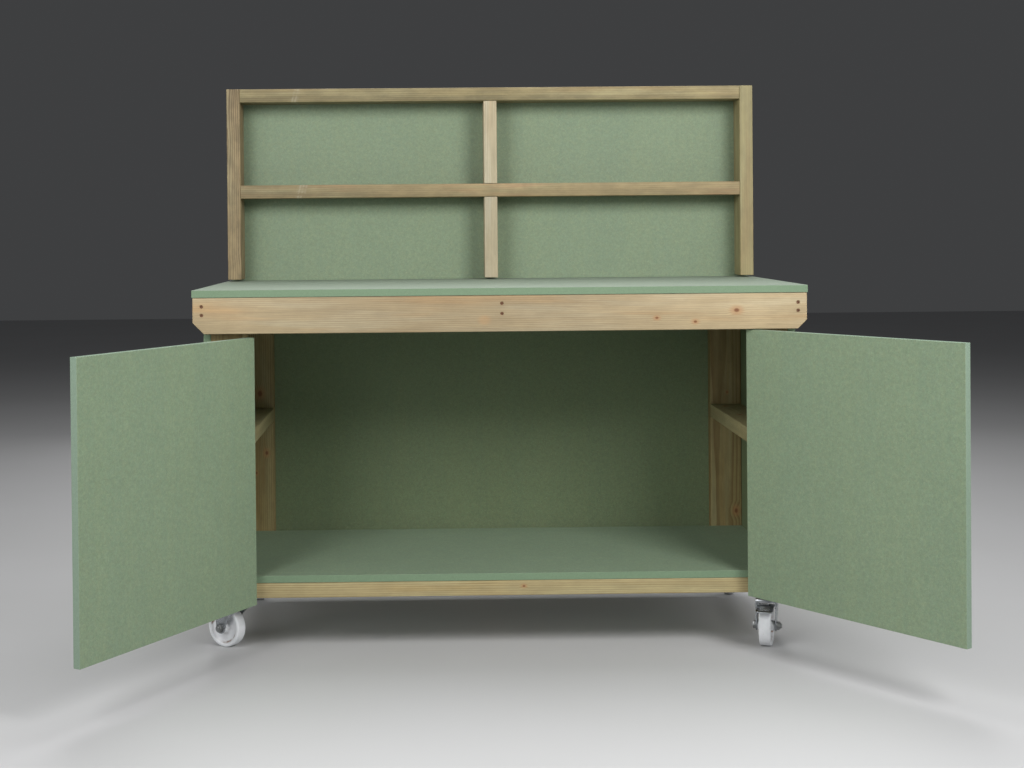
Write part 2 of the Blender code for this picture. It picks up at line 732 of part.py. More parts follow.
def main():
    for thing in list(bpy.data.objects):
        bpy.data.objects.remove(thing, do_unlink=True)
    make_top_frame()
    make_legs_and_side_rails()
    make_bottom_frame()
    make_shelf()
    make_panels()
    make_upper_frame()
    make_doors()
    make_castors()
    bpy.context.view_layer.update()


main()
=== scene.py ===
"""The looks of the potting bench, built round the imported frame.

Every timber is rebuilt with rounded arrises and its own grain, the boards carry a
green fibreboard finish, and the castors and screws are made in full.
Metres, in the frame's own axes: +X right, +Y back, +Z up.
"""

from collections import namedtuple
from itertools import product
import json
import math
import random

import bmesh
import bpy
from mathutils import Matrix, Vector, noise


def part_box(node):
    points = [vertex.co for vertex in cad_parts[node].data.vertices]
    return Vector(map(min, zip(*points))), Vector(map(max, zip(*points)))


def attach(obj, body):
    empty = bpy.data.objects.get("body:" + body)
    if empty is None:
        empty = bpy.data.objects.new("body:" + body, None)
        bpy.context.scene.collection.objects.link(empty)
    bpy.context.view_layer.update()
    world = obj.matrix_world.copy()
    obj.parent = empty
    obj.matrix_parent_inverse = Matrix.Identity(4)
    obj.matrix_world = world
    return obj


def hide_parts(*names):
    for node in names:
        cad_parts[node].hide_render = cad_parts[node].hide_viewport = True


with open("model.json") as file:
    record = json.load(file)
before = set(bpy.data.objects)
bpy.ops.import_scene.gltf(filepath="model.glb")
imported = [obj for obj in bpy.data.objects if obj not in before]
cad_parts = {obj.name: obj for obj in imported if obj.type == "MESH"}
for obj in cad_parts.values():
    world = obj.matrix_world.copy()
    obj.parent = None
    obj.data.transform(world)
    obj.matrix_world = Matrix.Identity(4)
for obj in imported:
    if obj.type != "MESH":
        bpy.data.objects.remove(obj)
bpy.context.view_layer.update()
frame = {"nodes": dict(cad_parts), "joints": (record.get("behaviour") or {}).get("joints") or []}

AXES = "XYZ"
TIMBER_ROUND = 0.0024
SHARP_DEGREES = 35
CORNER_SLOPE = 0.56
UP = Vector((0, 0, 1))


def srgb(red, green, blue):
    """Display values of 0 to 255 as the linear colour that a shader takes."""
    def linear(value):
        share = value / 255
        if share <= 0.04045:
            return share / 12.92
        return ((share + 0.055) / 1.055) ** 2.4
    return linear(red), linear(green), linear(blue), 1.0


# ---------- material nodes

class Graph:
    """A short way to write one material's nodes.  Its seed sets where the noise starts."""

    def __init__(self, name, seed=None):
        self.material = bpy.data.materials.new(name)
        self.material.use_nodes = True
        self.tree = self.material.node_tree
        self.shader = self.tree.nodes["Principled BSDF"]
        self.coordinates = self.tree.nodes.new("ShaderNodeTexCoord")
        self.random = random.Random(seed)
        self.shift = Vector((0, 0, 0))
        if seed is not None:
            self.shift = Vector([self.random.uniform(-20, 20) for _ in range(3)])

    def feed(self, node, inputs):
        """Link each input to the socket given for it, or set it to the plain value."""
        for key, value in inputs.items():
            if isinstance(value, bpy.types.NodeSocket):
                self.tree.links.new(value, node.inputs[key])
            else:
                node.inputs[key].default_value = value

    def add(self, kind, inputs, **settings):
        node = self.tree.nodes.new(kind)
        for key, value in settings.items():
            setattr(node, key, value)
        self.feed(node, inputs)
        return node

    def math(self, operation, *values):
        return self.add("ShaderNodeMath", dict(enumerate(values)), operation=operation).outputs[0]

    def times(self, first, *others):
        for other in others:
            first = self.math("MULTIPLY", first, other)
        return first

    def length(self, *parts):
        squares = [self.times(part, part) for part in parts]
        return self.math("SQRT", self.math("ADD", *squares))

    def vector(self, operation, *values):
        node = self.add("ShaderNodeVectorMath", dict(enumerate(values)), operation=operation)
        return node.outputs["Value" if operation == "DOT_PRODUCT" else "Vector"]

    def split(self, vector):
        return self.add("ShaderNodeSeparateXYZ", {"Vector": vector}).outputs

    def noise(self, scale, detail=2.0, roughness=0.5, distortion=0.0):
        """Noise over the object's own space, at one scale or at one for each axis."""
        scales = scale if isinstance(scale, tuple) else (scale, scale, scale)
        inputs = {"Vector": self.coordinates.outputs["Object"], "Scale": scales, "Location": self.shift}
        place = self.add("ShaderNodeMapping", inputs).outputs[0]
        inputs = {"Vector": place, "Scale": 1.0, "Detail": detail, "Roughness": roughness,
                  "Distortion": distortion}
        return self.add("ShaderNodeTexNoise", inputs).outputs

    def steps(self, value, low, high, start=0.0, end=1.0):
        """Go smoothly from start to end as the value goes from low to high."""
        inputs = {"Value": value, "From Min": low, "From Max": high, "To Min": start, "To Max": end}
        return self.add("ShaderNodeMapRange", inputs, interpolation_type="SMOOTHSTEP").outputs[0]

    def mix(self, share, first, second, blend="MIX"):
        inputs = {"Factor": share, 6: first, 7: second}
        return self.add("ShaderNodeMix", inputs, data_type="RGBA", blend_type=blend).outputs[2]

    def tinted(self, colour, tone):
        return self.mix(1.0, colour, tone, "MULTIPLY")

    def bump(self, height, strength, distance):
        inputs = {"Height": height, "Strength": strength, "Distance": distance}
        self.feed(self.shader, {"Normal": self.add("ShaderNodeBump", inputs).outputs[0]})

    def finish(self, colour, roughness):
        self.feed(self.shader, {"Base Color": colour, "Roughness": roughness})
        return self.material


# ---------- shape helpers

def upright(x, y, z):
    return x, y, z


def along_x(y, z, x):
    return x, y, z


def facing_front(x, z, y):
    return x, y, z


def arc(centre, radius, first, last, steps):
    """Points round part of a circle, with angles in degrees."""
    points = []
    for step in range(steps + 1):
        angle = math.radians(first + (last - first) * step / steps)
        points.append((centre[0] + radius * math.cos(angle), centre[1] + radius * math.sin(angle)))
    return points


def rounded_rectangle(half_u, half_v, radius, steps=6):
    points = []
    for quarter, (sign_u, sign_v) in enumerate(((1, 1), (-1, 1), (-1, -1), (1, -1))):
        centre = (sign_u * (half_u - radius), sign_v * (half_v - radius))
        points += arc(centre, radius, 90 * quarter, 90 * quarter + 90, steps)
    return points


def joined_rings(bm, rings):
    """Faces between each ring of points and the next, going round every ring."""
    count = len(rings[0])
    for a, b in zip(rings, rings[1:]):
        for i in range(count):
            j = (i + 1) % count
            bm.faces.new((a[i], a[j], b[j], b[i]))
    bm.faces.new(rings[0])
    bm.faces.new(rings[-1])
    bmesh.ops.recalc_face_normals(bm, faces=bm.faces)
    return bm


def prism(outline, low, high, place):
    """Extrude an outline of (u, v) points from one level to another."""
    bm = bmesh.new()
    rings = [[bm.verts.new(place(u, v, level)) for u, v in outline] for level in (low, high)]
    return joined_rings(bm, rings)


def block(half_u, low_v, high_v, low, high, place):
    outline = [(-half_u, low_v), (half_u, low_v), (half_u, high_v), (-half_u, high_v)]
    return prism(outline, low, high, place)


def turned(profile, segments, place):
    """Turn a closed profile of (radius, level) points about an axis.

    A profile that starts and ends on the axis closes itself there.
    """
    bm = bmesh.new()
    on_axis = profile[0][0] == 0 and profile[-1][0] == 0
    if on_axis:
        ends = [bm.verts.new(place(0, 0, level)) for _, level in (profile[0], profile[-1])]
    body = profile[1:-1] if on_axis else profile
    rings = []
    for step in range(segments):
        angle = 2 * math.pi * step / segments
        rings.append([bm.verts.new(place(radius * math.cos(angle), radius * math.sin(angle), level))
                      for radius, level in body])
    count = len(body)
    last = count - 1 if on_axis else count
    for a in range(segments):
        b = (a + 1) % segments
        for i in range(last):
            j = (i + 1) % count
            bm.faces.new((rings[a][i], rings[b][i], rings[b][j], rings[a][j]))
        if on_axis:
            bm.faces.new((rings[a][0], rings[b][0], ends[0]))
            bm.faces.new((rings[a][-1], rings[b][-1], ends[1]))
    bmesh.ops.recalc_face_normals(bm, faces=bm.faces)
    return bm


def rod(radius, low, high, segments, place):
    return turned([(0.0, low), (radius, low), (radius, high), (0.0, high)], segments, place)


def moved(bm, offset):
    bmesh.ops.translate(bm, verts=bm.verts, vec=offset)
    return bm


def as_mesh(name, bm):
    """Turn a bmesh into a mesh, and free it."""
    mesh = bpy.data.meshes.new(name)
    bm.to_mesh(mesh)
    bm.free()
    return mesh


def smoothed(mesh, sharp_degrees):
    mesh.shade_smooth()
    mesh.set_sharp_from_angle(angle=math.radians(sharp_degrees))
    return mesh


def finished_mesh(name, bm, sharp_degrees=SHARP_DEGREES):
    return smoothed(as_mesh(name, bm), sharp_degrees)


def turned_mesh(name, profile, segments, place, sharp_degrees=SHARP_DEGREES):
    return finished_mesh(name, turned(profile, segments, place), sharp_degrees)


def in_scene(name, data):
    """A new object that holds the data, linked to the scene."""
    made = bpy.data.objects.new(name, data)
    bpy.context.scene.collection.objects.link(made)
    return made


def cut_and_joined(name, start, steps, bevel=0.0, sharp_degrees=SHARP_DEGREES):
    """Apply Boolean steps of (operation, bmesh), then round the sharp edges a little."""
    base = in_scene(name, as_mesh(name, start))
    helpers = [base]
    for operation, shape in steps:
        helpers.append(in_scene(name, as_mesh(name, shape)))
        modifier = base.modifiers.new(operation, "BOOLEAN")
        modifier.operation = operation
        modifier.solver = "EXACT"
        modifier.object = helpers[-1]
    if bevel:
        rounding = base.modifiers.new("rounding", "BEVEL")
        rounding.width = bevel
        rounding.segments = 2
        rounding.limit_method = "ANGLE"
        rounding.angle_limit = math.radians(sharp_degrees)
    bpy.context.view_layer.update()
    finished = base.evaluated_get(bpy.context.evaluated_depsgraph_get())
    mesh = bpy.data.meshes.new_from_object(finished)
    mesh.name = name
    for helper in helpers:
        bpy.data.objects.remove(helper, do_unlink=True)
    return smoothed(mesh, sharp_degrees)


def merged(name, parts):
    """Put several meshes into one.  A part is a mesh, or a mesh and the matrix that places it."""
    bm = bmesh.new()
    for part in parts:
        mesh, matrix = part if isinstance(part, tuple) else (part, Matrix())
        copy = mesh.copy()
        copy.transform(matrix)
        bm.from_mesh(copy)
        bpy.data.meshes.remove(copy)
    return as_mesh(name, bm)


def hexagon_piece(name, corner_radius, low, high, place):
    """A bolt head or a nut: a hexagon whose corners are turned down at both faces."""
    flat_radius = corner_radius * math.cos(math.radians(30))
    drop = (corner_radius - flat_radius) * CORNER_SLOPE
    turned_down = turned([
        (0.0, low),
        (flat_radius * 0.97, low),
        (corner_radius * 1.01, low + drop),
        (corner_radius * 1.01, high - drop),
        (flat_radius * 0.97, high),
        (0.0, high),
    ], 48, place)
    corners = arc((0.0, 0.0), corner_radius, 0, 300, 5)
    hexagon = prism(corners, low - 0.001, high + 0.001, place)
    return cut_and_joined(name, hexagon, [("INTERSECT", turned_down)], 0.00015)


def paint(mesh, material):
    mesh.materials.clear()
    mesh.materials.append(material)


def add_piece(name, mesh, body, material, replaced=(), place=None):
    """Put a finished mesh in the scene, riding on its CAD body."""
    piece = in_scene(name, mesh)
    if place:
        piece.matrix_world = place
    paint(mesh, material)
    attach(piece, body)
    if replaced:
        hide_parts(*replaced)


def middle(node):
    low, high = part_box(node)
    return (low + high) / 2


# ---------- timber

# The colours of early and late wood, of a blush and of pale patches; how far and how
# often the rings sway; and how strong the wear and the ring lines are.
Wood = namedtuple("Wood", "early late blush pale sway waver wear lines")
WOODS = {
    "straw": Wood(srgb(178, 166, 138), srgb(157, 138, 106), srgb(178, 151, 115), srgb(187, 179, 155),
                  0.006, 1.6, 0.06, 0.75),
    "apron": Wood(srgb(170, 152, 119), srgb(147, 126, 90), srgb(174, 143, 103), srgb(176, 162, 132),
                  0.003, 1.6, 0.05, 0.60),
    "olive": Wood(srgb(150, 140, 101), srgb(128, 115, 76), srgb(152, 134, 96), srgb(157, 149, 111),
                  0.008, 1.6, 0.09, 0.45),
    "weathered": Wood(srgb(144, 131, 94), srgb(114, 100, 64), srgb(146, 126, 88), srgb(152, 141, 104),
                      0.009, 4.0, 0.15, 0.60),
    "rosy": Wood(srgb(150, 134, 98), srgb(130, 110, 76), srgb(166, 129, 95), srgb(156, 146, 110),
                 0.010, 2.5, 0.13, 0.50),
    "grey_olive": Wood(srgb(146, 129, 96), srgb(92, 74, 46), srgb(140, 116, 83), srgb(148, 134, 101),
                       0.020, 5.0, 0.20, 0.85),
    "brown": Wood(srgb(145, 130, 87), srgb(117, 95, 55), srgb(143, 117, 70), srgb(152, 142, 101),
                  0.010, 1.6, 0.09, 0.80),
    "yellow": Wood(srgb(170, 155, 114), srgb(143, 124, 80), srgb(166, 145, 99), srgb(176, 164, 123),
                   0.012, 1.6, 0.07, 0.90),
}
KNOT_HALO = srgb(170, 120, 76)
KNOT_DARK = srgb(90, 57, 34)
KNOT_LIGHT = srgb(142, 94, 58)
RESIN_COLOUR = srgb(188, 142, 92)
RUBBED_COLOUR = srgb(176, 170, 150)

# Grain axis, wood, colour slot, the pith's place across and deep of the centre, and ring width.
TIMBERS = {
    "top_side_rail_left": ("Y", "straw", "straw", (0.05, 0.10), 0.0045),
    "top_side_rail_right": ("Y", "straw", "straw", (-0.07, 0.08), 0.0040),
    "top_cross_rail": ("Y", "brown", "brown", (0.06, 0.09), 0.0045),
    "leg_front_left": ("Z", "brown", "brown", (0.02, 0.08), 0.0045),
    "leg_front_right": ("Z", "brown", "brown", (-0.02, 0.09), 0.0042),
    "leg_back_left": ("Z", "brown", "brown", (0.11, 0.05), 0.0050),
    "leg_back_right": ("Z", "brown", "brown", (-0.02, 0.09), 0.0050),
    "mid_side_rail_left": ("Y", "olive", "brown", (0.08, 0.02), 0.0042),
    "mid_side_rail_right": ("Y", "olive", "brown", (0.08, -0.02), 0.0042),
    "bottom_side_rail_left": ("Y", "brown", "brown", (0.03, 0.09), 0.0045),
    "bottom_side_rail_right": ("Y", "brown", "brown", (0.03, -0.09), 0.0045),
    "bottom_front_rail": ("X", "yellow", "brown", (0.02, 0.075), 0.0042),
    "bottom_back_rail": ("X", "brown", "brown", (0.08, -0.01), 0.0050),
    "bottom_cross_rail": ("Y", "brown", "brown", (0.03, 0.09), 0.0050),
    "upper_post_left": ("Z", "grey_olive", "olive", (-0.02, -0.05), 0.0058),
    "upper_post_right": ("Z", "olive", "olive", (0.13, -0.02), 0.0060),
    "upper_top_rail": ("X", "weathered", "olive", (0.01, 0.09), 0.0060),
    "upper_middle_rail": ("X", "rosy", "olive", (-0.01, -0.09), 0.0055),
    "upper_centre_post_top": ("Z", "straw", "straw", (0.10, -0.03), 0.0044),
    "upper_centre_post_bottom": ("Z", "straw", "straw", (0.085, -0.02), 0.0034),
}
APRON_ROW = ("X", "apron", "straw", (-0.03, 0.12), 0.0045)
FIRST_APRON_SEED = 60

# Knots by node: along the board from its middle, across the face, and radius.
KNOTS = {
    "leg_front_left": ((0.18, 0.0, 0.006),),
    "leg_front_right": ((-0.2, 0.0, 0.005),),
    "leg_back_left": ((0.0725, 0.0055, 0.0075), (-0.0965, 0.023, 0.005), (-0.153, -0.0065, 0.003)),
    "leg_back_right": ((-0.2755, 0.028, 0.006), (0.063, 0.004, 0.0025)),
    "mid_side_rail_right": ((0.215, -0.012, 0.006), (0.02, -0.010, 0.005)),
    "bottom_front_rail": ((0.0547, 0.0043, 0.0030),),
    "front_apron": ((0.576, 0.0025, 0.0058), (0.475, -0.0245, 0.0036), (0.381, -0.0145, 0.0034)),
}

# Orange resin spots by node, given as a knot is.
RESIN_SPOTS = {
    "front_apron": (-0.039, -0.016, 0.0055),
    "back_apron": (-0.039, -0.016, 0.0055),
}

# A change of tone along a board: the place it is measured from, how far from there it
# starts and ends, and the tone before and after it.
TONES = {
    "upper_top_rail": (-0.40, 0.30, 0.90, 0.92, 1.12),
    "upper_middle_rail": (-0.70, 0.10, 0.75, 0.84, 1.04),
    "upper_centre_post_top": (0.0, 0.0, 0.1, 1.08, 1.10),
    "front_apron": (-0.10, 0.15, 0.80, 0.87, 1.14),
    "back_apron": (-0.10, 0.15, 0.80, 0.87, 1.14),
}

# Pale rubbed marks on a board's face: how far along it, and half the mark's length.
RUBS = {
    "upper_top_rail": (-0.549, 0.010),
    "upper_middle_rail": (-0.535, 0.014),
}

# Boards with painted shade along their lower edge, and the rest of the face painted a little lighter:
# where across the face the shade starts and is full, and its tone.
SHADED_LOWER_EDGES = {
    "upper_top_rail": (-0.001, -0.009, 0.84),
    "upper_middle_rail": (0.004, -0.012, 0.92),
}


def knot_nodes(graph, along, side, knot):
    """How far one knot bends the rings, and its core and halo."""
    at_along, at_side, radius = knot
    distance = graph.length(graph.times(graph.math("SUBTRACT", along, at_along), 0.72),
                            graph.math("SUBTRACT", side, at_side))
    core = graph.steps(distance, radius * 0.45, radius * 1.10, 1.0, 0.0)
    halo = graph.steps(distance, radius * 0.8, radius * 3.0, 1.0, 0.0)
    push = graph.times(graph.steps(distance, 0.0, radius * 4.0, 1.0, 0.0), radius * 0.9)
    return push, core, halo


def rubbed_mark(graph, along, side, smudges, rub):
    """How strongly a few slanting strokes of a rubbed mark show."""
    place, half_length = rub
    slant = graph.math("MULTIPLY_ADD", side, -0.25, graph.math("SUBTRACT", along, place))
    mark = graph.steps(graph.math("ABSOLUTE", slant), half_length * 0.5, half_length * 1.2, 0.42, 0.0)
    strokes = graph.steps(graph.math("SINE", graph.times(slant, 700.0)), -0.9, 0.9, 0.35, 1.0)
    worn = graph.steps(smudges["Fac"], 0.42, 0.56, 0.1, 1.0)
    return graph.times(mark, graph.times(strokes, worn))


def timber_material(node, axis, wood, seed, pith, ring):
    """Softwood cut from a round log: rings about a pith, fibres along it, and knots."""
    graph = Graph(node + "_grain", seed)
    local = graph.vector("SUBTRACT", graph.coordinates.outputs["Object"], middle(node))
    parts = graph.split(local)
    first = AXES.index(axis)
    along = parts[first]
    across = parts[(first + 1) % 3]
    deep = parts[(first + 2) % 3]
    side = across if axis == "Z" else deep

    def grainy(along_scale, around_scale, **settings):
        scales = [around_scale] * 3
        scales[first] = along_scale
        return graph.noise(tuple(scales), **settings)

    drifts = graph.split(grainy(wood.waver, 7, detail=1.5)["Color"])
    ripple = grainy(9, 90)
    from_pith = []
    for part, offset, drift in ((across, pith[0], drifts[0]), (deep, pith[1], drifts[1])):
        from_pith.append(graph.math("MULTIPLY_ADD", graph.math("SUBTRACT", drift, 0.5), wood.sway,
                                    graph.math("SUBTRACT", part, offset)))
    radius = graph.length(*from_pith)
    radius = graph.math("MULTIPLY_ADD", along, graph.random.uniform(-0.006, 0.006), radius)
    radius = graph.math("MULTIPLY_ADD", ripple["Fac"], 0.0012, radius)

    core = halo = 0.0
    for knot in KNOTS.get(node, ()):
        push, one_core, one_halo = knot_nodes(graph, along, side, knot)
        radius = graph.math("ADD", radius, push)
        core = graph.math("MAXIMUM", core, one_core)
        halo = graph.math("MAXIMUM", halo, one_halo)

    turns = graph.math("MULTIPLY_ADD", grainy(0.4, 30, detail=1.0)["Fac"], 1.6,
                       graph.math("DIVIDE", radius, ring))
    phase = graph.math("FRACT", turns)
    late = graph.times(graph.steps(phase, 0.30, 0.90), graph.steps(phase, 0.93, 1.0, 1.0, 0.0))

    fibres = grainy(14, 620, detail=3.0, roughness=0.6)
    pores = grainy(45, 1500)
    streaks = grainy(2.5, 130)
    smudges = grainy(16, 40, detail=4.0, roughness=0.65)
    patches = grainy(2.2, 26, detail=3.0)
    patch_parts = graph.split(patches["Color"])

    colour = graph.mix(graph.steps(patch_parts[0], 0.46, 0.66), wood.early, wood.pale)
    colour = graph.mix(graph.steps(patch_parts[1], 0.50, 0.72, 0.0, 0.85), colour, wood.blush)
    strength = graph.steps(patch_parts[2], 0.30, 0.70, 0.40 * wood.lines, wood.lines)
    colour = graph.mix(graph.times(late, strength), colour, wood.late)
    tone = graph.times(graph.steps(fibres["Fac"], 0.25, 0.75, 0.90, 1.07),
                       graph.steps(pores["Fac"], 0.35, 0.50, 0.94, 1.0),
                       graph.steps(streaks["Fac"], 0.30, 0.70, 0.95, 1.05),
                       graph.steps(smudges["Fac"], 0.32, 0.68, 1.0 - wood.wear, 1.0 + 0.8 * wood.wear))
    if node in TONES:
        place, start, end, before, after = TONES[node]
        away = graph.math("ABSOLUTE", graph.math("SUBTRACT", along, place))
        tone = graph.times(tone, graph.steps(away, start, end, before, after))
    # Painted shade: the rail's lower edge is darkened and the rest of its face painted a little lighter.
    if node in SHADED_LOWER_EDGES:
        start, full, low_tone = SHADED_LOWER_EDGES[node]
        wavy = graph.math("MULTIPLY_ADD", graph.math("SUBTRACT", patch_parts[1], 0.5), 0.03, side)
        tone = graph.times(tone, graph.steps(wavy, full, start, low_tone, 1.06))
    colour = graph.tinted(colour, tone)
    if node in RESIN_SPOTS:
        spot = knot_nodes(graph, along, side, RESIN_SPOTS[node])[-1]
        soaked = graph.times(spot, graph.steps(patches["Fac"], 0.35, 0.60, 0.08, 0.42))
        colour = graph.mix(soaked, colour, RESIN_COLOUR)
    if node in RUBS:
        colour = graph.mix(rubbed_mark(graph, along, side, smudges, RUBS[node]), colour, RUBBED_COLOUR)
    if node in KNOTS:
        colour = graph.mix(graph.times(halo, 0.50), colour, KNOT_HALO)
        ringed = graph.math("SINE", graph.times(radius, 5200.0))
        knotty = graph.mix(graph.steps(ringed, -1.0, 1.0), KNOT_DARK, KNOT_LIGHT)
        colour = graph.mix(core, colour, knotty)
    relief = graph.math("MULTIPLY_ADD", late, 0.5, graph.times(fibres["Fac"], 0.9))
    graph.bump(relief, 0.35, 0.0005)
    return graph.finish(colour, graph.steps(fibres["Fac"], 0.3, 0.7, 0.56, 0.72))


SECTION_STEP = 0.05
CORNER_STEPS = 4
END_ROUND = 0.0006
UNEVENNESS = 0.00035


def section_mesh(node, axis, seed):
    """A length of timber between its CAD node's corners: a rounded section, a little uneven."""
    low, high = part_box(node)
    first = AXES.index(axis)
    second = (first + 1) % 3
    third = (first + 2) % 3
    half = [(high[i] - low[i]) / 2 for i in range(3)]
    outline = rounded_rectangle(half[second], half[third], TIMBER_ROUND, CORNER_STEPS)
    length = high[first] - low[first]
    count = max(4, round(length / SECTION_STEP))
    stations = [0.0, END_ROUND / length]
    stations += [i / count for i in range(1, count)]
    stations += [1 - END_ROUND / length, 1.0]
    centre = [(low[i] + high[i]) / 2 for i in range(3)]
    bm = bmesh.new()
    rings = []
    for share in stations:
        shrink = END_ROUND if share in (0.0, 1.0) else 0.0
        ring = []
        for u, v in outline:
            drift = noise.noise(Vector((share * length * 3.0, u * 12 + seed, v * 12 - seed)))
            inward = 1 - (shrink + UNEVENNESS * (1 + drift)) / max(abs(u), abs(v), 0.01)
            point = Vector((0, 0, 0))
            point[first] = centre[first] + (share - 0.5) * length
            point[second] = centre[second] + u * inward
            point[third] = centre[third] + v * inward
            ring.append(bm.verts.new(point))
        rings.append(ring)
    return finished_mesh(node + "_sawn", joined_rings(bm, rings), 40)


def add_timber(node, row, mesh, seed):
    axis, wood, slot, pith, ring = row
    material = timber_material(node, axis, WOODS[wood], seed, pith, ring)
    add_piece(node + "_sawn", mesh, "frame", material, (node,))


def make_timbers():
    for seed, (node, row) in enumerate(TIMBERS.items(), start=1):
        add_timber(node, row, section_mesh(node, row[0], seed), seed)


# Screws in the front apron's face, as (x, z), and the sunk hole for each, turned about its axis.
APRON_SCREWS = (
    (-0.7265, 0.8660),
    (-0.7265, 0.8450),
    (0.0035, 0.8680),
    (0.0035, 0.8430),
    (0.7265, 0.8640),
    (0.7265, 0.8440),
)
SCREW_SINK = [(0.0, 0.0055), (0.0022, 0.0050), (0.0050, -0.0002), (0.0054, -0.0010), (0.0, -0.0010)]


def make_aprons():
    """The two long rails under the worktop, with cut corners, and sunk screws in the front one."""
    for seed, node in enumerate(("front_apron", "back_apron"), start=FIRST_APRON_SEED):
        low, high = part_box(node)
        foot = [v.co.x for v in frame["nodes"][node].data.vertices if v.co.z < low.z + 0.001]
        left = min(foot) - low.x
        right = high.x - max(foot)
        outline = [
            (low.x, high.z),
            (low.x, low.z + left),
            (low.x + left, low.z),
            (high.x - right, low.z),
            (high.x, low.z + right),
            (high.x, high.z),
        ]
        bm = prism(outline, low.y, high.y, facing_front)
        bmesh.ops.bevel(bm, geom=bm.edges[:], offset=TIMBER_ROUND, segments=4, profile=0.5, affect="EDGES")
        cuts = []
        for x, z in APRON_SCREWS if node == "front_apron" else ():
            cuts.append(("DIFFERENCE", moved(turned(SCREW_SINK, 24, facing_front), (x, low.y, z))))
        add_timber(node, APRON_ROW, cut_and_joined(node + "_sawn", bm, cuts), seed)


# ---------- fibreboard

BOARDS = {
    "worktop": "top",
    "upper_back_panel": "plain",
    "bottom_shelf": "floor",
    # The cupboard's walls take the "inside" look: painted shade on their inner faces.
    "side_panel_left": "inside",
    "side_panel_right": "inside",
    "lower_back_panel": "inside",
    "door_left": "door",
    "door_right": "door",
}
BOARD_EDGE = srgb(114, 137, 109)
# The doors' cut edges are painted lighter than the others: a painted highlight where they catch the light.
DOOR_EDGE_HIGHLIGHT = srgb(128, 148, 129)

# A base colour, a cooler one that comes in bands, and the cut edge's.  The doors' lighter edge colour is a
# painted highlight.
BOARD_LOOKS = {
    "plain": (srgb(127, 142, 115), srgb(122, 139, 116), BOARD_EDGE),
    "top": (srgb(137, 149, 134), srgb(132, 147, 133), BOARD_EDGE),
    "door": (srgb(129, 146, 118), srgb(124, 143, 119), DOOR_EDGE_HIGHLIGHT),
    # The "inside" colours are painted shade: the plain colours made darker for the faces inside the
    # cupboard.
    "inside": (srgb(112, 126, 93), srgb(108, 124, 94), BOARD_EDGE),
    "floor": (srgb(134, 151, 127), srgb(130, 148, 127), BOARD_EDGE),
}
WARM_TINT = (1.14, 1.02, 0.90, 1.0)
GREEN_TINT = (0.84, 1.00, 0.94, 1.0)
PALE_FLECK = srgb(180, 186, 152)
DARK_FLECK = srgb(98, 116, 88)


def thin_direction(mesh):
    """The direction across a board's thickness: its largest face's normal."""
    return max(mesh.polygons, key=lambda polygon: polygon.area).normal.copy()


def board_material(node, outward, look, seed):
    """Moisture-resistant fibreboard: pressed fibres, faint sanding bands and a richer cut edge, which on
    the doors is painted lighter as a painted highlight.

    The look "inside" is painted shade: darker colours only for the face that points into the bench, where
    the cupboard lies in shade.  Its outer face is plain.
    """
    graph = Graph(node + "_board", seed)
    facing = graph.vector("DOT_PRODUCT", graph.coordinates.outputs["Normal"], outward)
    base, cool, edge = BOARD_LOOKS[look]
    # Painted shade: faces that point into the bench get the darker "inside" colours, the outer face the
    # plain ones.
    if look == "inside":
        outside = graph.steps(facing, 0.60, 0.80)
        base = graph.mix(outside, base, BOARD_LOOKS["plain"][0])
        cool = graph.mix(outside, cool, BOARD_LOOKS["plain"][1])
    bands = graph.noise((22.0, 22.0, 0.8), detail=3.0, roughness=0.6)
    clouds = graph.noise((9.0, 9.0, 6.0), detail=4.0, roughness=0.6)
    mottle = graph.noise(120.0, detail=4.0, roughness=0.75)
    fibre = graph.noise(330.0, detail=3.0, roughness=0.7, distortion=1.2)
    flecks = graph.noise((210.0, 210.0, 300.0), roughness=0.6, distortion=2.5)
    face = graph.mix(graph.steps(bands["Fac"], 0.36, 0.64, 0.20, 0.70), base, cool)
    tints = graph.split(mottle["Color"])
    for part, tint in ((tints[1], WARM_TINT), (tints[2], GREEN_TINT)):
        face = graph.mix(graph.steps(part, 0.44, 0.62, 0.0, 0.30), face, graph.tinted(base, tint))
    tone = graph.times(graph.steps(mottle["Fac"], 0.30, 0.70, 0.91, 1.09),
                       graph.steps(clouds["Fac"], 0.30, 0.70, 0.985, 1.015),
                       graph.steps(fibre["Fac"], 0.25, 0.75, 0.85, 1.15))
    face = graph.tinted(face, tone)
    face = graph.mix(graph.steps(flecks["Fac"], 0.64, 0.76, 0.0, 0.55), face, PALE_FLECK)
    face = graph.mix(graph.steps(flecks["Fac"], 0.34, 0.24, 0.0, 0.40), face, DARK_FLECK)
    # The cut edge takes the look's edge colour; the doors' edge colour is a painted highlight.
    on_edge = graph.steps(graph.math("ABSOLUTE", facing), 0.80, 0.60)
    fuzz = graph.steps(fibre["Fac"], 0.25, 0.75, 0.88, 1.10)
    graph.bump(graph.math("MULTIPLY_ADD", mottle["Fac"], 0.5, fibre["Fac"]), 0.20, 0.0004)
    return graph.finish(graph.mix(on_edge, face, graph.tinted(edge, fuzz)),
                        graph.steps(mottle["Fac"], 0.3, 0.7, 0.60, 0.72))


def dress_boards():
    """The boards keep their CAD shapes."""
    for seed, (node, look) in enumerate(BOARDS.items(), start=100):
        mesh = frame["nodes"][node].data
        outward = thin_direction(mesh)
        if outward.dot(middle(node)) < 0:
            outward = -outward
        paint(mesh, board_material(node, outward, look, seed))


# ---------- metal and nylon

BRIGHT_ZINC = srgb(196, 200, 204)
PRESSED_ZINC = srgb(176, 180, 184)
BOLT_ZINC = srgb(158, 160, 160)
SCREW_YELLOW_ZINC = srgb(176, 158, 112)
SCREW_ZINC = srgb(190, 192, 192)


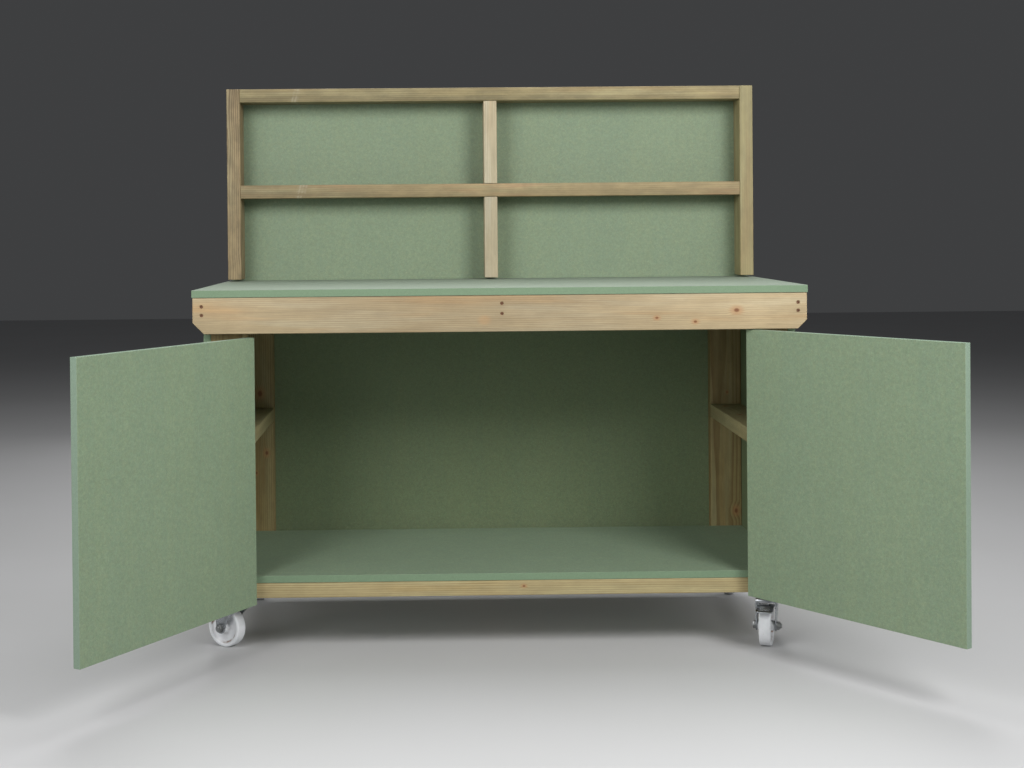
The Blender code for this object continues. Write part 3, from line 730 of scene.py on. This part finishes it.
def zinc_material(name, seed, colour=BRIGHT_ZINC, roughness=0.34):
    """Zinc plate: a soft spangle, duller patches and fine handling marks."""
    graph = Graph(name, seed)
    cloud = graph.noise(60.0, detail=3.0)
    fine = graph.noise(700.0)
    dull = tuple(0.72 * channel for channel in colour[:3]) + (1.0,)
    shade = graph.mix(graph.steps(cloud["Fac"], 0.35, 0.68), colour, dull)
    graph.shader.inputs["Metallic"].default_value = 1.0
    graph.bump(fine["Fac"], 0.08, 0.0002)
    return graph.finish(shade, graph.steps(cloud["Fac"], 0.3, 0.7, roughness - 0.08, roughness + 0.14))


def nylon_material(name, seed):
    """Off-white nylon with faint scuffs, and brown dirt in the crease beside the tread."""
    graph = Graph(name, seed)
    scuff = graph.noise(120.0, detail=4.0, roughness=0.65)
    cloud = graph.noise(28.0)
    base = graph.mix(graph.steps(cloud["Fac"], 0.4, 0.7), srgb(236, 238, 241), srgb(225, 228, 231))
    base = graph.mix(graph.steps(scuff["Fac"], 0.60, 0.74, 0.0, 0.4), base, srgb(190, 188, 183))
    parts = graph.split(graph.coordinates.outputs["Object"])
    radius = graph.length(parts[1], parts[2])
    crease = graph.times(graph.steps(radius, 0.0340, 0.0375), graph.steps(radius, 0.0412, 0.0398))
    dirt = graph.times(crease, graph.steps(cloud["Fac"], 0.50, 0.62, 0.10, 0.95))
    graph.bump(scuff["Fac"], 0.10, 0.0003)
    colour = graph.mix(dirt, base, srgb(124, 84, 58))
    return graph.finish(colour, graph.steps(scuff["Fac"], 0.3, 0.7, 0.36, 0.52))


def rust_material(name, seed):
    """A steel screw head that tannin and damp have turned brown."""
    graph = Graph(name, seed)
    grit = graph.noise(900.0, detail=3.0)
    shade = graph.mix(graph.steps(grit["Fac"], 0.35, 0.65), srgb(132, 94, 66), srgb(88, 60, 42))
    graph.shader.inputs["Metallic"].default_value = 0.1
    graph.bump(grit["Fac"], 0.3, 0.0003)
    return graph.finish(shade, graph.steps(grit["Fac"], 0.3, 0.7, 0.5, 0.7))


def dress_hinges():
    """The hinges keep their CAD shapes, in plated steel."""
    for seed, (name, node) in enumerate(sorted(frame["nodes"].items()), start=300):
        if name.startswith("hinge"):
            paint(node.data, zinc_material(name + "_zinc", seed))


# ---------- castors

TRAIL = 0.036
WHEEL_RADIUS = 0.050
WHEEL_HALF_WIDTH = 0.015
TREAD_ROUND = 0.0045
HUB_HALF_WIDTH = 0.0213
PLATE_HALF_X = 0.040
PLATE_HALF_Y = 0.0525
PLATE_CORNER = 0.009
PLATE_THICKNESS = 0.0037
BOLT_SPOTS = ((-0.030, -0.040), (0.030, -0.040), (0.030, 0.040), (-0.030, 0.040))
FORK_OUTER = 0.0255
FORK_THICKNESS = 0.003
FORK_INNER = FORK_OUTER - FORK_THICKNESS
FORK_BEND = 0.0055
FORK_FOOT = 0.030
CROWN_TOP = 0.1215
EYE_RADIUS = 0.0140
AXLE_HOLE = 0.0060
KINGPIN_HOLE = 0.0063
PIVOT_HOLE = 0.0029
RACEWAY_RADIUS = 0.027
HOUSING_TOP = 0.1297
KINGPIN_LOW = 0.1135
KINGPIN_HEAD_HEIGHT = 0.0042
KINGPIN_HEAD_RADIUS = 0.0100
AXLE_RADIUS = 0.0057
THREAD_PITCH = 0.00125
THREAD_DEPTH = 0.0006
HEXAGON_RADIUS = 0.0107
AXLE_PLACE = Vector((0.0, -TRAIL, WHEEL_RADIUS))
PEDAL_PIVOT = Vector((0.0, -0.0475, 0.1035))
PEDAL_HALF_WIDTH = 0.0212
PEDAL_REACH = 0.045
PEDAL_THICKNESS = 0.0020


def wheel_mesh():
    """A nylon wheel about its own axle: a round-edged tread, a dished web and a hub."""
    half = [
        (AXLE_HOLE, HUB_HALF_WIDTH),
        (0.0112, HUB_HALF_WIDTH),
        (0.0122, HUB_HALF_WIDTH - 0.0010),
        (0.0130, 0.0125),
        (0.0146, 0.0095),
        (0.0170, 0.0078),
        (0.0210, 0.0073),
        (0.0340, 0.0073),
        (0.0372, 0.0080),
        (0.0390, 0.0098),
        (0.0402, 0.0128),
        (0.0409, WHEEL_HALF_WIDTH - 0.0006),
        (0.0416, WHEEL_HALF_WIDTH),
    ]
    half += arc((WHEEL_RADIUS - TREAD_ROUND, WHEEL_HALF_WIDTH - TREAD_ROUND), TREAD_ROUND, 90, 0, 6)
    half.append((WHEEL_RADIUS, 0.0))
    mirrored = [(radius, -level) for radius, level in reversed(half[:-1])]
    return turned_mesh("nylon_wheel", half + mirrored, 96, along_x, 50)


def fork_side():
    """The fork seen from the side, as (y, z)."""
    outline = [(0.0280, CROWN_TOP), (0.0280, 0.1120)]
    outline += arc((0.0240, 0.1100), 0.0040, 0, -55, 4)
    outline += [(0.0080, 0.0930), (-0.0060, 0.0800), (-0.0165, 0.0660)]
    outline += arc((-TRAIL, WHEEL_RADIUS), EYE_RADIUS, -8, -172, 14)
    outline += [(-0.0508, 0.0640), (-0.0510, 0.0800), (-0.0512, 0.0950)]
    outline += arc((-0.0505, 0.0990), 0.0030, -110, -180, 3)
    outline += arc((-0.0435, 0.1115), 0.0100, 180, 90, 8)
    return outline


def fork_mesh():
    """A pressed fork: sheet bent down both sides, an eye at each foot and a bearing housing."""
    outer_centre = (FORK_OUTER - FORK_BEND, CROWN_TOP - FORK_BEND)
    inner_bend = FORK_BEND - FORK_THICKNESS
    inner_centre = (FORK_INNER - inner_bend, CROWN_TOP - FORK_THICKNESS - inner_bend)
    outside = [(FORK_OUTER, FORK_FOOT)] + arc(outer_centre, FORK_BEND, 0, 90, 6)
    inside = arc(inner_centre, inner_bend, 90, 0, 4) + [(FORK_INNER, FORK_FOOT)]
    channel = outside + [(-x, z) for x, z in reversed(inside + outside)] + inside
    front_plate = block(FORK_INNER + 0.001, 0.1095, CROWN_TOP - 0.001, -0.0535, -0.0415, facing_front)
    shaped = cut_and_joined("pressed_fork_shape", prism(channel, -0.070, 0.040, facing_front), [
        ("UNION", front_plate),
        ("INTERSECT", prism(fork_side(), -0.05, 0.05, along_x)),
        ("DIFFERENCE", rod(KINGPIN_HOLE, 0.10, 0.14, 32, upright)),
        ("DIFFERENCE", moved(rod(AXLE_HOLE, -0.05, 0.05, 24, along_x), AXLE_PLACE)),
        ("DIFFERENCE", moved(rod(PIVOT_HOLE, -0.05, 0.05, 16, along_x), PEDAL_PIVOT)),
    ], 0.0006)
    housing = turned_mesh("bearing_housing", [
        (KINGPIN_HOLE, CROWN_TOP - 0.0025),
        (RACEWAY_RADIUS + 0.0030, CROWN_TOP - 0.0025),
        (RACEWAY_RADIUS + 0.0026, CROWN_TOP + 0.0004),
        (RACEWAY_RADIUS + 0.0012, CROWN_TOP + 0.0014),
        (RACEWAY_RADIUS + 0.0008, HOUSING_TOP - 0.0008),
        (RACEWAY_RADIUS, HOUSING_TOP),
        (KINGPIN_HOLE, HOUSING_TOP),
    ], 64, upright)
    parts = [shaped, housing]
    for sign in (-1, 1):
        ring = [(radius, sign * (FORK_OUTER + proud)) for radius, proud in (
            (0.0062, -0.0005), (0.0118, -0.0005), (0.0118, 0.0001), (0.0112, 0.0003), (0.0062, 0.0003))]
        parts.append(finished_mesh("eye_ring", moved(turned(ring, 40, along_x), AXLE_PLACE), 40))
    return merged("pressed_fork", parts)


def plate_mesh(top):
    """The top plate with its four slots, the raceway under it and the kingpin's head."""
    low = top - PLATE_THICKNESS
    plate = prism(rounded_rectangle(PLATE_HALF_X, PLATE_HALF_Y, PLATE_CORNER), low, top, upright)
    slots = []
    for x, y in sorted(BOLT_SPOTS):
        slot = prism(rounded_rectangle(0.0045, 0.0065, 0.0044), low - 0.01, top + 0.01, upright)
        slots.append(("DIFFERENCE", moved(slot, (x, y, 0))))
    raceway_low = HOUSING_TOP + 0.0003
    raceway = [
        (0.0, raceway_low),
        (RACEWAY_RADIUS - 0.0035, raceway_low),
        (RACEWAY_RADIUS - 0.0012, raceway_low + 0.0012),
        (RACEWAY_RADIUS, raceway_low + 0.0035),
        (RACEWAY_RADIUS + 0.0012, low - 0.0006),
        (RACEWAY_RADIUS + 0.0030, low + 0.0004),
        (0.0, low + 0.0004),
    ]
    head_top = KINGPIN_LOW + KINGPIN_HEAD_HEIGHT
    kingpin = [(0.0, KINGPIN_LOW)]
    for u, v in arc((0.0, 0.0), 1.0, 75, 0, 5):
        kingpin.append((KINGPIN_HEAD_RADIUS * u, head_top - KINGPIN_HEAD_HEIGHT * v))
    kingpin += [(0.0060, head_top), (0.0060, raceway_low + 0.001), (0.0, raceway_low + 0.001)]
    return merged("castor_plate_whole", [
        cut_and_joined("castor_plate_shape", plate, slots, 0.0005),
        turned_mesh("raceway", raceway, 64, upright),
        turned_mesh("kingpin", kingpin, 40, upright),
    ])


def axle_mesh():
    """The axle: a bolt head, washers, a lock nut and the end of the thread."""
    outside = FORK_OUTER + 0.0005
    nut_end = outside + 0.0068
    end = outside + 0.0120
    washer = ((0.0058, 0.0), (0.0106, 0.0), (0.0108, 0.0002), (0.0106, 0.0007), (0.0058, 0.0007))
    collar = [(radius, nut_end + past) for radius, past in (
        (0.0050, -0.0005), (0.0088, -0.0005), (0.0086, 0.0014), (0.0078, 0.0023), (0.0050, 0.0023))]
    thread = [(0.0, -outside - 0.005), (AXLE_RADIUS, -outside - 0.005), (AXLE_RADIUS, nut_end)]
    level = nut_end
    while level + THREAD_PITCH < end - 0.0008:
        thread += [(AXLE_RADIUS, level + 0.15 * THREAD_PITCH),
                   (AXLE_RADIUS - THREAD_DEPTH, level + 0.5 * THREAD_PITCH),
                   (AXLE_RADIUS, level + 0.85 * THREAD_PITCH)]
        level += THREAD_PITCH
    thread += [(AXLE_RADIUS - 0.0002, end - 0.0008), (AXLE_RADIUS - 0.0010, end), (0.0, end)]
    parts = [hexagon_piece("axle_head", HEXAGON_RADIUS, -nut_end, -outside - 0.0006, along_x)]
    for sign in (-1, 1):
        ring = [(radius, sign * (outside + proud)) for radius, proud in washer]
        parts.append(turned_mesh("axle_washer", ring, 40, along_x, 40))
    parts.append(hexagon_piece("lock_nut", HEXAGON_RADIUS, outside + 0.0007, nut_end, along_x))
    parts.append(turned_mesh("nut_collar", collar, 40, along_x))
    parts.append(turned_mesh("axle_thread", thread, 32, along_x, 30))
    return merged("castor_axle_whole", parts)


def pedal_mesh():
    """The brake pedal about its pivot: a stamped tread plate with round corners, ribs and a lip."""
    half = PEDAL_HALF_WIDTH

    def drop(y):
        share = min(1.0, max(0.0, -y / PEDAL_REACH))
        return -0.0070 * share ** 1.3

    ys = [0.002 - step * (PEDAL_REACH + 0.002) / 14 for step in range(15)]
    profile = [(y, drop(y) + PEDAL_THICKNESS / 2) for y in ys]
    profile += arc((-PEDAL_REACH, -0.0100), 0.0040, 90, 175, 5)
    profile += arc((-PEDAL_REACH, -0.0100), 0.0020, 175, 90, 4)
    profile += [(y, drop(y) - PEDAL_THICKNESS / 2) for y in reversed(ys)]
    plan = [(half, 0.010), (-half, 0.010)]
    plan += arc((-half + 0.008, -PEDAL_REACH + 0.004), 0.008, 180, 270, 6)
    plan += arc((half - 0.008, -PEDAL_REACH + 0.004), 0.008, 270, 360, 6)
    parts = [cut_and_joined("pedal_plate", prism(profile, -half, half, along_x),
                            [("INTERSECT", prism(plan, -0.05, 0.05, upright))], 0.0004)]
    for rib in range(5):
        y = -0.016 - 0.0058 * rib
        section = arc((y, drop(y) + PEDAL_THICKNESS / 2 - 0.0004), 0.0013, 0, 180, 6)
        parts.append(finished_mesh("pedal_rib", prism(section, -0.0125, 0.0125, along_x)))
    tube_end = FORK_INNER - 0.0004
    tube = [(0.0024, -tube_end), (0.0031, -tube_end), (0.0031, tube_end), (0.0024, tube_end)]
    pin_end = FORK_OUTER + 0.0009
    half_pin = [(0.0024, FORK_OUTER + 0.0002), (0.0036, FORK_OUTER + 0.0002), (0.0036, pin_end),
                (0.0026, pin_end + 0.0005), (0.0, pin_end + 0.0006)]
    pin = [(radius, -level) for radius, level in reversed(half_pin)] + half_pin
    parts.append(turned_mesh("pedal_tube", tube, 24, along_x))
    parts.append(turned_mesh("pedal_pin", pin, 24, along_x))
    return merged("brake_pedal_whole", parts)


def plate_bolts_mesh(plate_low):
    """Four bolts up through the plate's slots, each with its washer."""
    washer_low = plate_low - 0.0016
    head = hexagon_piece("plate_bolt", 0.0070, washer_low - 0.0052, washer_low, upright)
    washer = turned_mesh("plate_washer", [
        (0.0, washer_low),
        (0.0078, washer_low),
        (0.0081, washer_low + 0.0004),
        (0.0081, plate_low),
        (0.0, plate_low),
    ], 36, upright, 40)
    parts = []
    for index, (x, y) in enumerate(BOLT_SPOTS):
        spot = Matrix.Translation((x, y, 0))
        parts.append((head, spot @ Matrix.Rotation(0.5 + 1.1 * index, 4, "Z")))
        parts.append((washer, spot))
    return merged("castor_plate_bolts", parts)


def make_castors():
    """Four castors, each turned about its own swivel as its CAD wheel is."""
    plate_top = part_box("castor_front_left_plate")[1].z
    zinc = zinc_material("castor_zinc_plate", 301)
    pressed = zinc_material("castor_pressed_zinc", 302, PRESSED_ZINC, 0.30)
    bolt_steel = zinc_material("castor_bolt_zinc", 303, BOLT_ZINC, 0.40)
    nylon = nylon_material("castor_white_nylon", 404)
    kinds = {
        "plate": (plate_mesh(plate_top), zinc),
        "bolts": (plate_bolts_mesh(plate_top - PLATE_THICKNESS), bolt_steel),
        "fork": (fork_mesh(), pressed),
        "axle": (axle_mesh(), bolt_steel),
        "wheel": (wheel_mesh(), nylon),
        "brake_pedal": (pedal_mesh(), pressed),
    }
    for joint in frame["joints"]:
        castor, found, _ = joint["name"].partition("_swivel")
        if not found:
            continue
        pivot = Vector(joint["pos_m"])
        trailing = middle(castor + "_wheel") - pivot
        still = Matrix.Translation((pivot.x, pivot.y, 0))
        swung = still @ Matrix.Rotation(math.atan2(trailing.x, -trailing.y), 4, "Z")
        hub = swung @ Matrix.Translation(AXLE_PLACE)
        rows = [
            ("plate", still, "frame"),
            ("bolts", still, "frame"),
            ("fork", swung, castor + "_fork"),
            ("axle", hub, castor + "_fork"),
            ("wheel", hub, castor + "_wheel"),
        ]
        if castor.startswith("castor_front"):
            rows.append(("brake_pedal", swung @ Matrix.Translation(PEDAL_PIVOT), castor + "_brake_pedal"))
        for kind, place, body in rows:
            mesh, material = kinds[kind]
            name = castor + "_" + kind
            replaced = () if kind == "bolts" else (name,)
            add_piece(name + "_made", mesh.copy(), body, material, replaced, place)


# ---------- screws

HEAD_RADIUS = 0.0040
SMALL_HEAD_RADIUS = 0.0022
HEAD_PROUD = 0.0002
FROM_LOW_END = 0.055
FROM_HIGH_END = 0.035
FROM_POST_EDGE = 0.022
FROM_RAIL_EDGE = 0.024
KNUCKLE_REACH = 0.0050
APRON_SCREW_DEPTH = 0.0012
LEAF_SCREWS = (-0.68, 0.0, 0.68)


def screw_mesh(radius):
    """A countersunk screw head that faces +Z, with a cross recess and a slight dish."""
    head = turned([
        (0.0, -radius),
        (radius * 0.45, -radius * 0.8),
        (radius * 0.97, -radius * 0.10),
        (radius, 0.0),
        (radius * 0.95, HEAD_PROUD),
        (radius * 0.60, HEAD_PROUD * 0.9),
        (0.0, HEAD_PROUD * 0.6),
    ], 32, upright)
    arm = radius * 0.58
    half = radius * 0.13
    recess = []
    for u, v in ((arm, half), (half, arm)):
        recess.append(("DIFFERENCE", block(u, -v, v, -radius * 0.45, radius, upright)))
    return cut_and_joined("screw_head", head, recess, 0.0, 30)


def facing(place, normal, turn):
    """The matrix that puts a screw at a place with its head facing along a normal."""
    aim = normal.to_track_quat("Z", "Y").to_matrix().to_4x4()
    return Matrix.Translation(place) @ aim @ Matrix.Rotation(turn, 4, "Z")


def spaced(low, high, count):
    return [low + (high - low) * i / (count - 1) for i in range(count)]


def down_board(node, count=5):
    """Heights for screws down a standing board."""
    low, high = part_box(node)
    return spaced(low.z + FROM_LOW_END, high.z - FROM_HIGH_END, count)


def on_both_sides(spots):
    """Screws into the right side at these places, and into the left side at their mirror images."""
    return [(Vector((sign * x, y, z)), Vector((sign, 0, 0))) for sign in (-1, 1) for x, y, z in spots]


def on_back(spots):
    return [(Vector(spot), Vector((0, 1, 0))) for spot in spots]


def panel_screw_places():
    """Screws through the panels into the legs and rails behind them, as (place, normal)."""
    rail_z = middle("bottom_side_rail_right").z
    mid_rail_z = middle("mid_side_rail_right").z
    leg_ys = [middle("leg_front_right").y, middle("leg_back_right").y]
    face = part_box("side_panel_right")[1].x
    spots = [(face, y, z) for y, z in product(leg_ys, down_board("side_panel_right"))]
    spots += [(face, y, z) for z, y in product((rail_z, mid_rail_z), spaced(*leg_ys, 4)[1:-1])]
    places = on_both_sides(spots)
    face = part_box("lower_back_panel")[1].y
    leg_x = middle("leg_back_right").x
    places += on_back((x, face, z) for x, z in product((-leg_x, leg_x), down_board("lower_back_panel")))
    places += on_back((x, face, rail_z) for x in spaced(-leg_x, leg_x, 6)[1:-1])
    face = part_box("upper_back_panel")[1].y
    post_x = middle("upper_post_right").x
    levels = [middle(node).z for node in ("upper_top_rail", "upper_middle_rail", "back_apron")]
    between = [(levels[0] + levels[1]) / 2, (levels[1] + levels[2]) / 2]
    places += on_back((x, face, z) for z, x in product(levels, spaced(-post_x, post_x, 7)))
    return places + on_back((x, face, z) for z, x in product(between, (-post_x, 0.0, post_x)))


def rail_screw_places():
    """Screws through the upper posts into the rails, and through the side rails into the legs."""
    post_low, post_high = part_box("upper_post_right")
    post_ys = (post_low.y + FROM_POST_EDGE, post_high.y - FROM_POST_EDGE)
    low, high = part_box("top_side_rail_right")
    rail_zs = (low.z + FROM_RAIL_EDGE, high.z - FROM_RAIL_EDGE)
    levels = [middle(rail).z for rail in ("upper_top_rail", "upper_middle_rail")]
    leg_ys = [middle(leg).y for leg in ("leg_front_right", "leg_back_right")]
    spots = [(post_high.x, y, z) for z, y in product(levels, post_ys)]
    spots += [(high.x, y, z) for y, z in product(leg_ys, rail_zs)]
    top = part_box("upper_top_rail")[1].z
    return on_both_sides(spots) + [(Vector((0, y, top)), UP) for y in post_ys]


def leaf_screw_places(hinge, leaf):
    """Three screws down one hinge leaf, on the face that is nearer to the pin."""
    mesh = frame["nodes"][hinge + "_" + leaf].data
    pin_low, pin_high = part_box(hinge + "_pin")
    axis = (pin_low + pin_high) / 2
    normal = thin_direction(mesh)
    along = normal.cross(UP)
    offsets = [vertex.co - axis for vertex in mesh.vertices]
    reaches = [offset.dot(along) for offset in offsets]
    if abs(min(reaches)) > max(reaches):
        along = -along
    plate = [offset for offset in offsets if offset.dot(along) > KNUCKLE_REACH]
    depth = min((offset.dot(normal) for offset in plate), key=abs)
    outward = -normal if depth > 0 else normal
    reach = (KNUCKLE_REACH + max(offset.dot(along) for offset in plate)) / 2
    surface = axis + normal * depth + along * reach
    half = (pin_high.z - pin_low.z) / 2
    return [(surface + UP * (share * half), outward) for share in LEAF_SCREWS]


def add_screws(name, mesh, places, body, material, seed):
    turns = random.Random(seed)
    parts = [(mesh, facing(place, normal, turns.uniform(0, 1.5))) for place, normal in places]
    add_piece(name, smoothed(merged(name, parts), 30), body, material)


def make_screws():
    coated = zinc_material("screw_yellow_zinc", 321, SCREW_YELLOW_ZINC, 0.36)
    browned = rust_material("screw_browned_steel", 522)
    zinc = zinc_material("hinge_screw_zinc", 323, SCREW_ZINC, 0.32)
    head = screw_mesh(HEAD_RADIUS)
    small = screw_mesh(SMALL_HEAD_RADIUS)
    add_screws("panel_screws", head, panel_screw_places(), "frame", coated, 31)
    add_screws("rail_screws", head, rail_screw_places(), "frame", coated, 32)
    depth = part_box("front_apron")[0].y + APRON_SCREW_DEPTH
    sunk = [(Vector((x, depth, z)), Vector((0, -1, 0))) for x, z in APRON_SCREWS]
    add_screws("apron_screws", head, sunk, "frame", browned, 33)
    for side, level in product(("left", "right"), ("top", "bottom")):
        hinge = "hinge_" + side + "_" + level
        for leaf, body, seed in (("frame", "frame", 34), ("door", "door_" + side, 35)):
            places = leaf_screw_places(hinge, leaf + "_leaf")
            add_screws(hinge + "_" + leaf + "_screws", small, places, body, zinc, seed)


# ---------- camera, lights and stage

CAMERA_PLACE = Vector((-0.1502, -4.0454, 1.0535))
CAMERA_YAW = -0.0130
CAMERA_PITCH = -0.0107
CAMERA_ROLL = -0.0089
CAMERA_LENS = 53.484
CAMERA_SHIFT = (0.0528, -0.1370)

# Place, width, height and power of each softbox.  All of them face the bench's middle.
SOFTBOXES = {
    "near_left": ((-1.4, -2.2, 2.1), 1.0, 1.0, 29.0),
    "near_right": ((1.4, -2.2, 2.1), 1.0, 1.0, 51.0),
    "front_left": ((-2.2, -4.2, 2.0), 1.4, 1.4, 24.0),
    "low_left": ((-3.6, -3.4, 1.7), 1.4, 1.8, 26.0),
    "low_right": ((3.6, -3.4, 1.7), 1.4, 1.8, 21.0),
    "left_side": ((-4.2, -1.2, 2.2), 1.4, 1.8, 10.0),
    "right_side": ((4.2, -1.2, 2.2), 1.4, 1.8, 20.0),
    "overhead": ((0.0, 0.6, 3.8), 3.0, 1.5, 55.0),
    "back_high": ((0.0, 2.4, 4.4), 3.2, 1.0, 60.0),
    "back_low": ((0.0, 3.8, 1.0), 3.2, 1.0, 12.0),
}
BENCH_MIDDLE = Vector((0.0, 0.0, 0.8))


def make_camera():
    """A nearly level camera, a little left of the middle and just above the worktop."""
    data = bpy.data.cameras.new("camera")
    data.sensor_width = 36.0
    data.lens = CAMERA_LENS
    data.shift_x, data.shift_y = CAMERA_SHIFT
    camera = in_scene("camera", data)
    level = Matrix.Translation(CAMERA_PLACE) @ Matrix.Rotation(CAMERA_YAW, 4, "Z")
    tilt = Matrix.Rotation(math.pi / 2 + CAMERA_PITCH, 4, "X")
    camera.matrix_world = level @ tilt @ Matrix.Rotation(CAMERA_ROLL, 4, "Z")
    bpy.context.scene.camera = camera


def make_lights():
    for name, (place, width, height, power) in SOFTBOXES.items():
        light = bpy.data.lights.new(name, "AREA")
        light.shape = "RECTANGLE"
        light.size = width
        light.size_y = height
        light.energy = power
        lamp = in_scene(name, light)
        lamp.location = place
        lamp.rotation_euler = (BENCH_MIDDLE - Vector(place)).to_track_quat("-Z", "Y").to_euler()
        lamp.visible_camera = False


def make_stage():
    bm = bmesh.new()
    bmesh.ops.create_grid(bm, x_segments=1, y_segments=1, size=14.0)
    floor = in_scene("studio_floor", finished_mesh("studio_floor", bm))
    graph = Graph("studio_floor_paint")
    soft = graph.noise(1.5)
    share = graph.steps(soft["Fac"], 0.3, 0.7, 0.0, 0.25)
    paint = graph.finish(graph.mix(share, srgb(196, 196, 197), srgb(188, 188, 187)), 0.7)
    floor.data.materials.append(paint)

    world = bpy.data.worlds.new("studio_world")
    world.use_nodes = True
    background = world.node_tree.nodes["Background"]
    background.inputs["Color"].default_value = srgb(205, 207, 210)
    background.inputs["Strength"].default_value = 0.08
    bpy.context.scene.world = world


# ---------- the whole

make_camera()
make_lights()
make_stage()
make_timbers()
make_aprons()
dress_boards()
dress_hinges()
make_castors()
make_screws()

bpy.context.scene.view_settings.view_transform = "Standard"
bpy.context.view_layer.update()
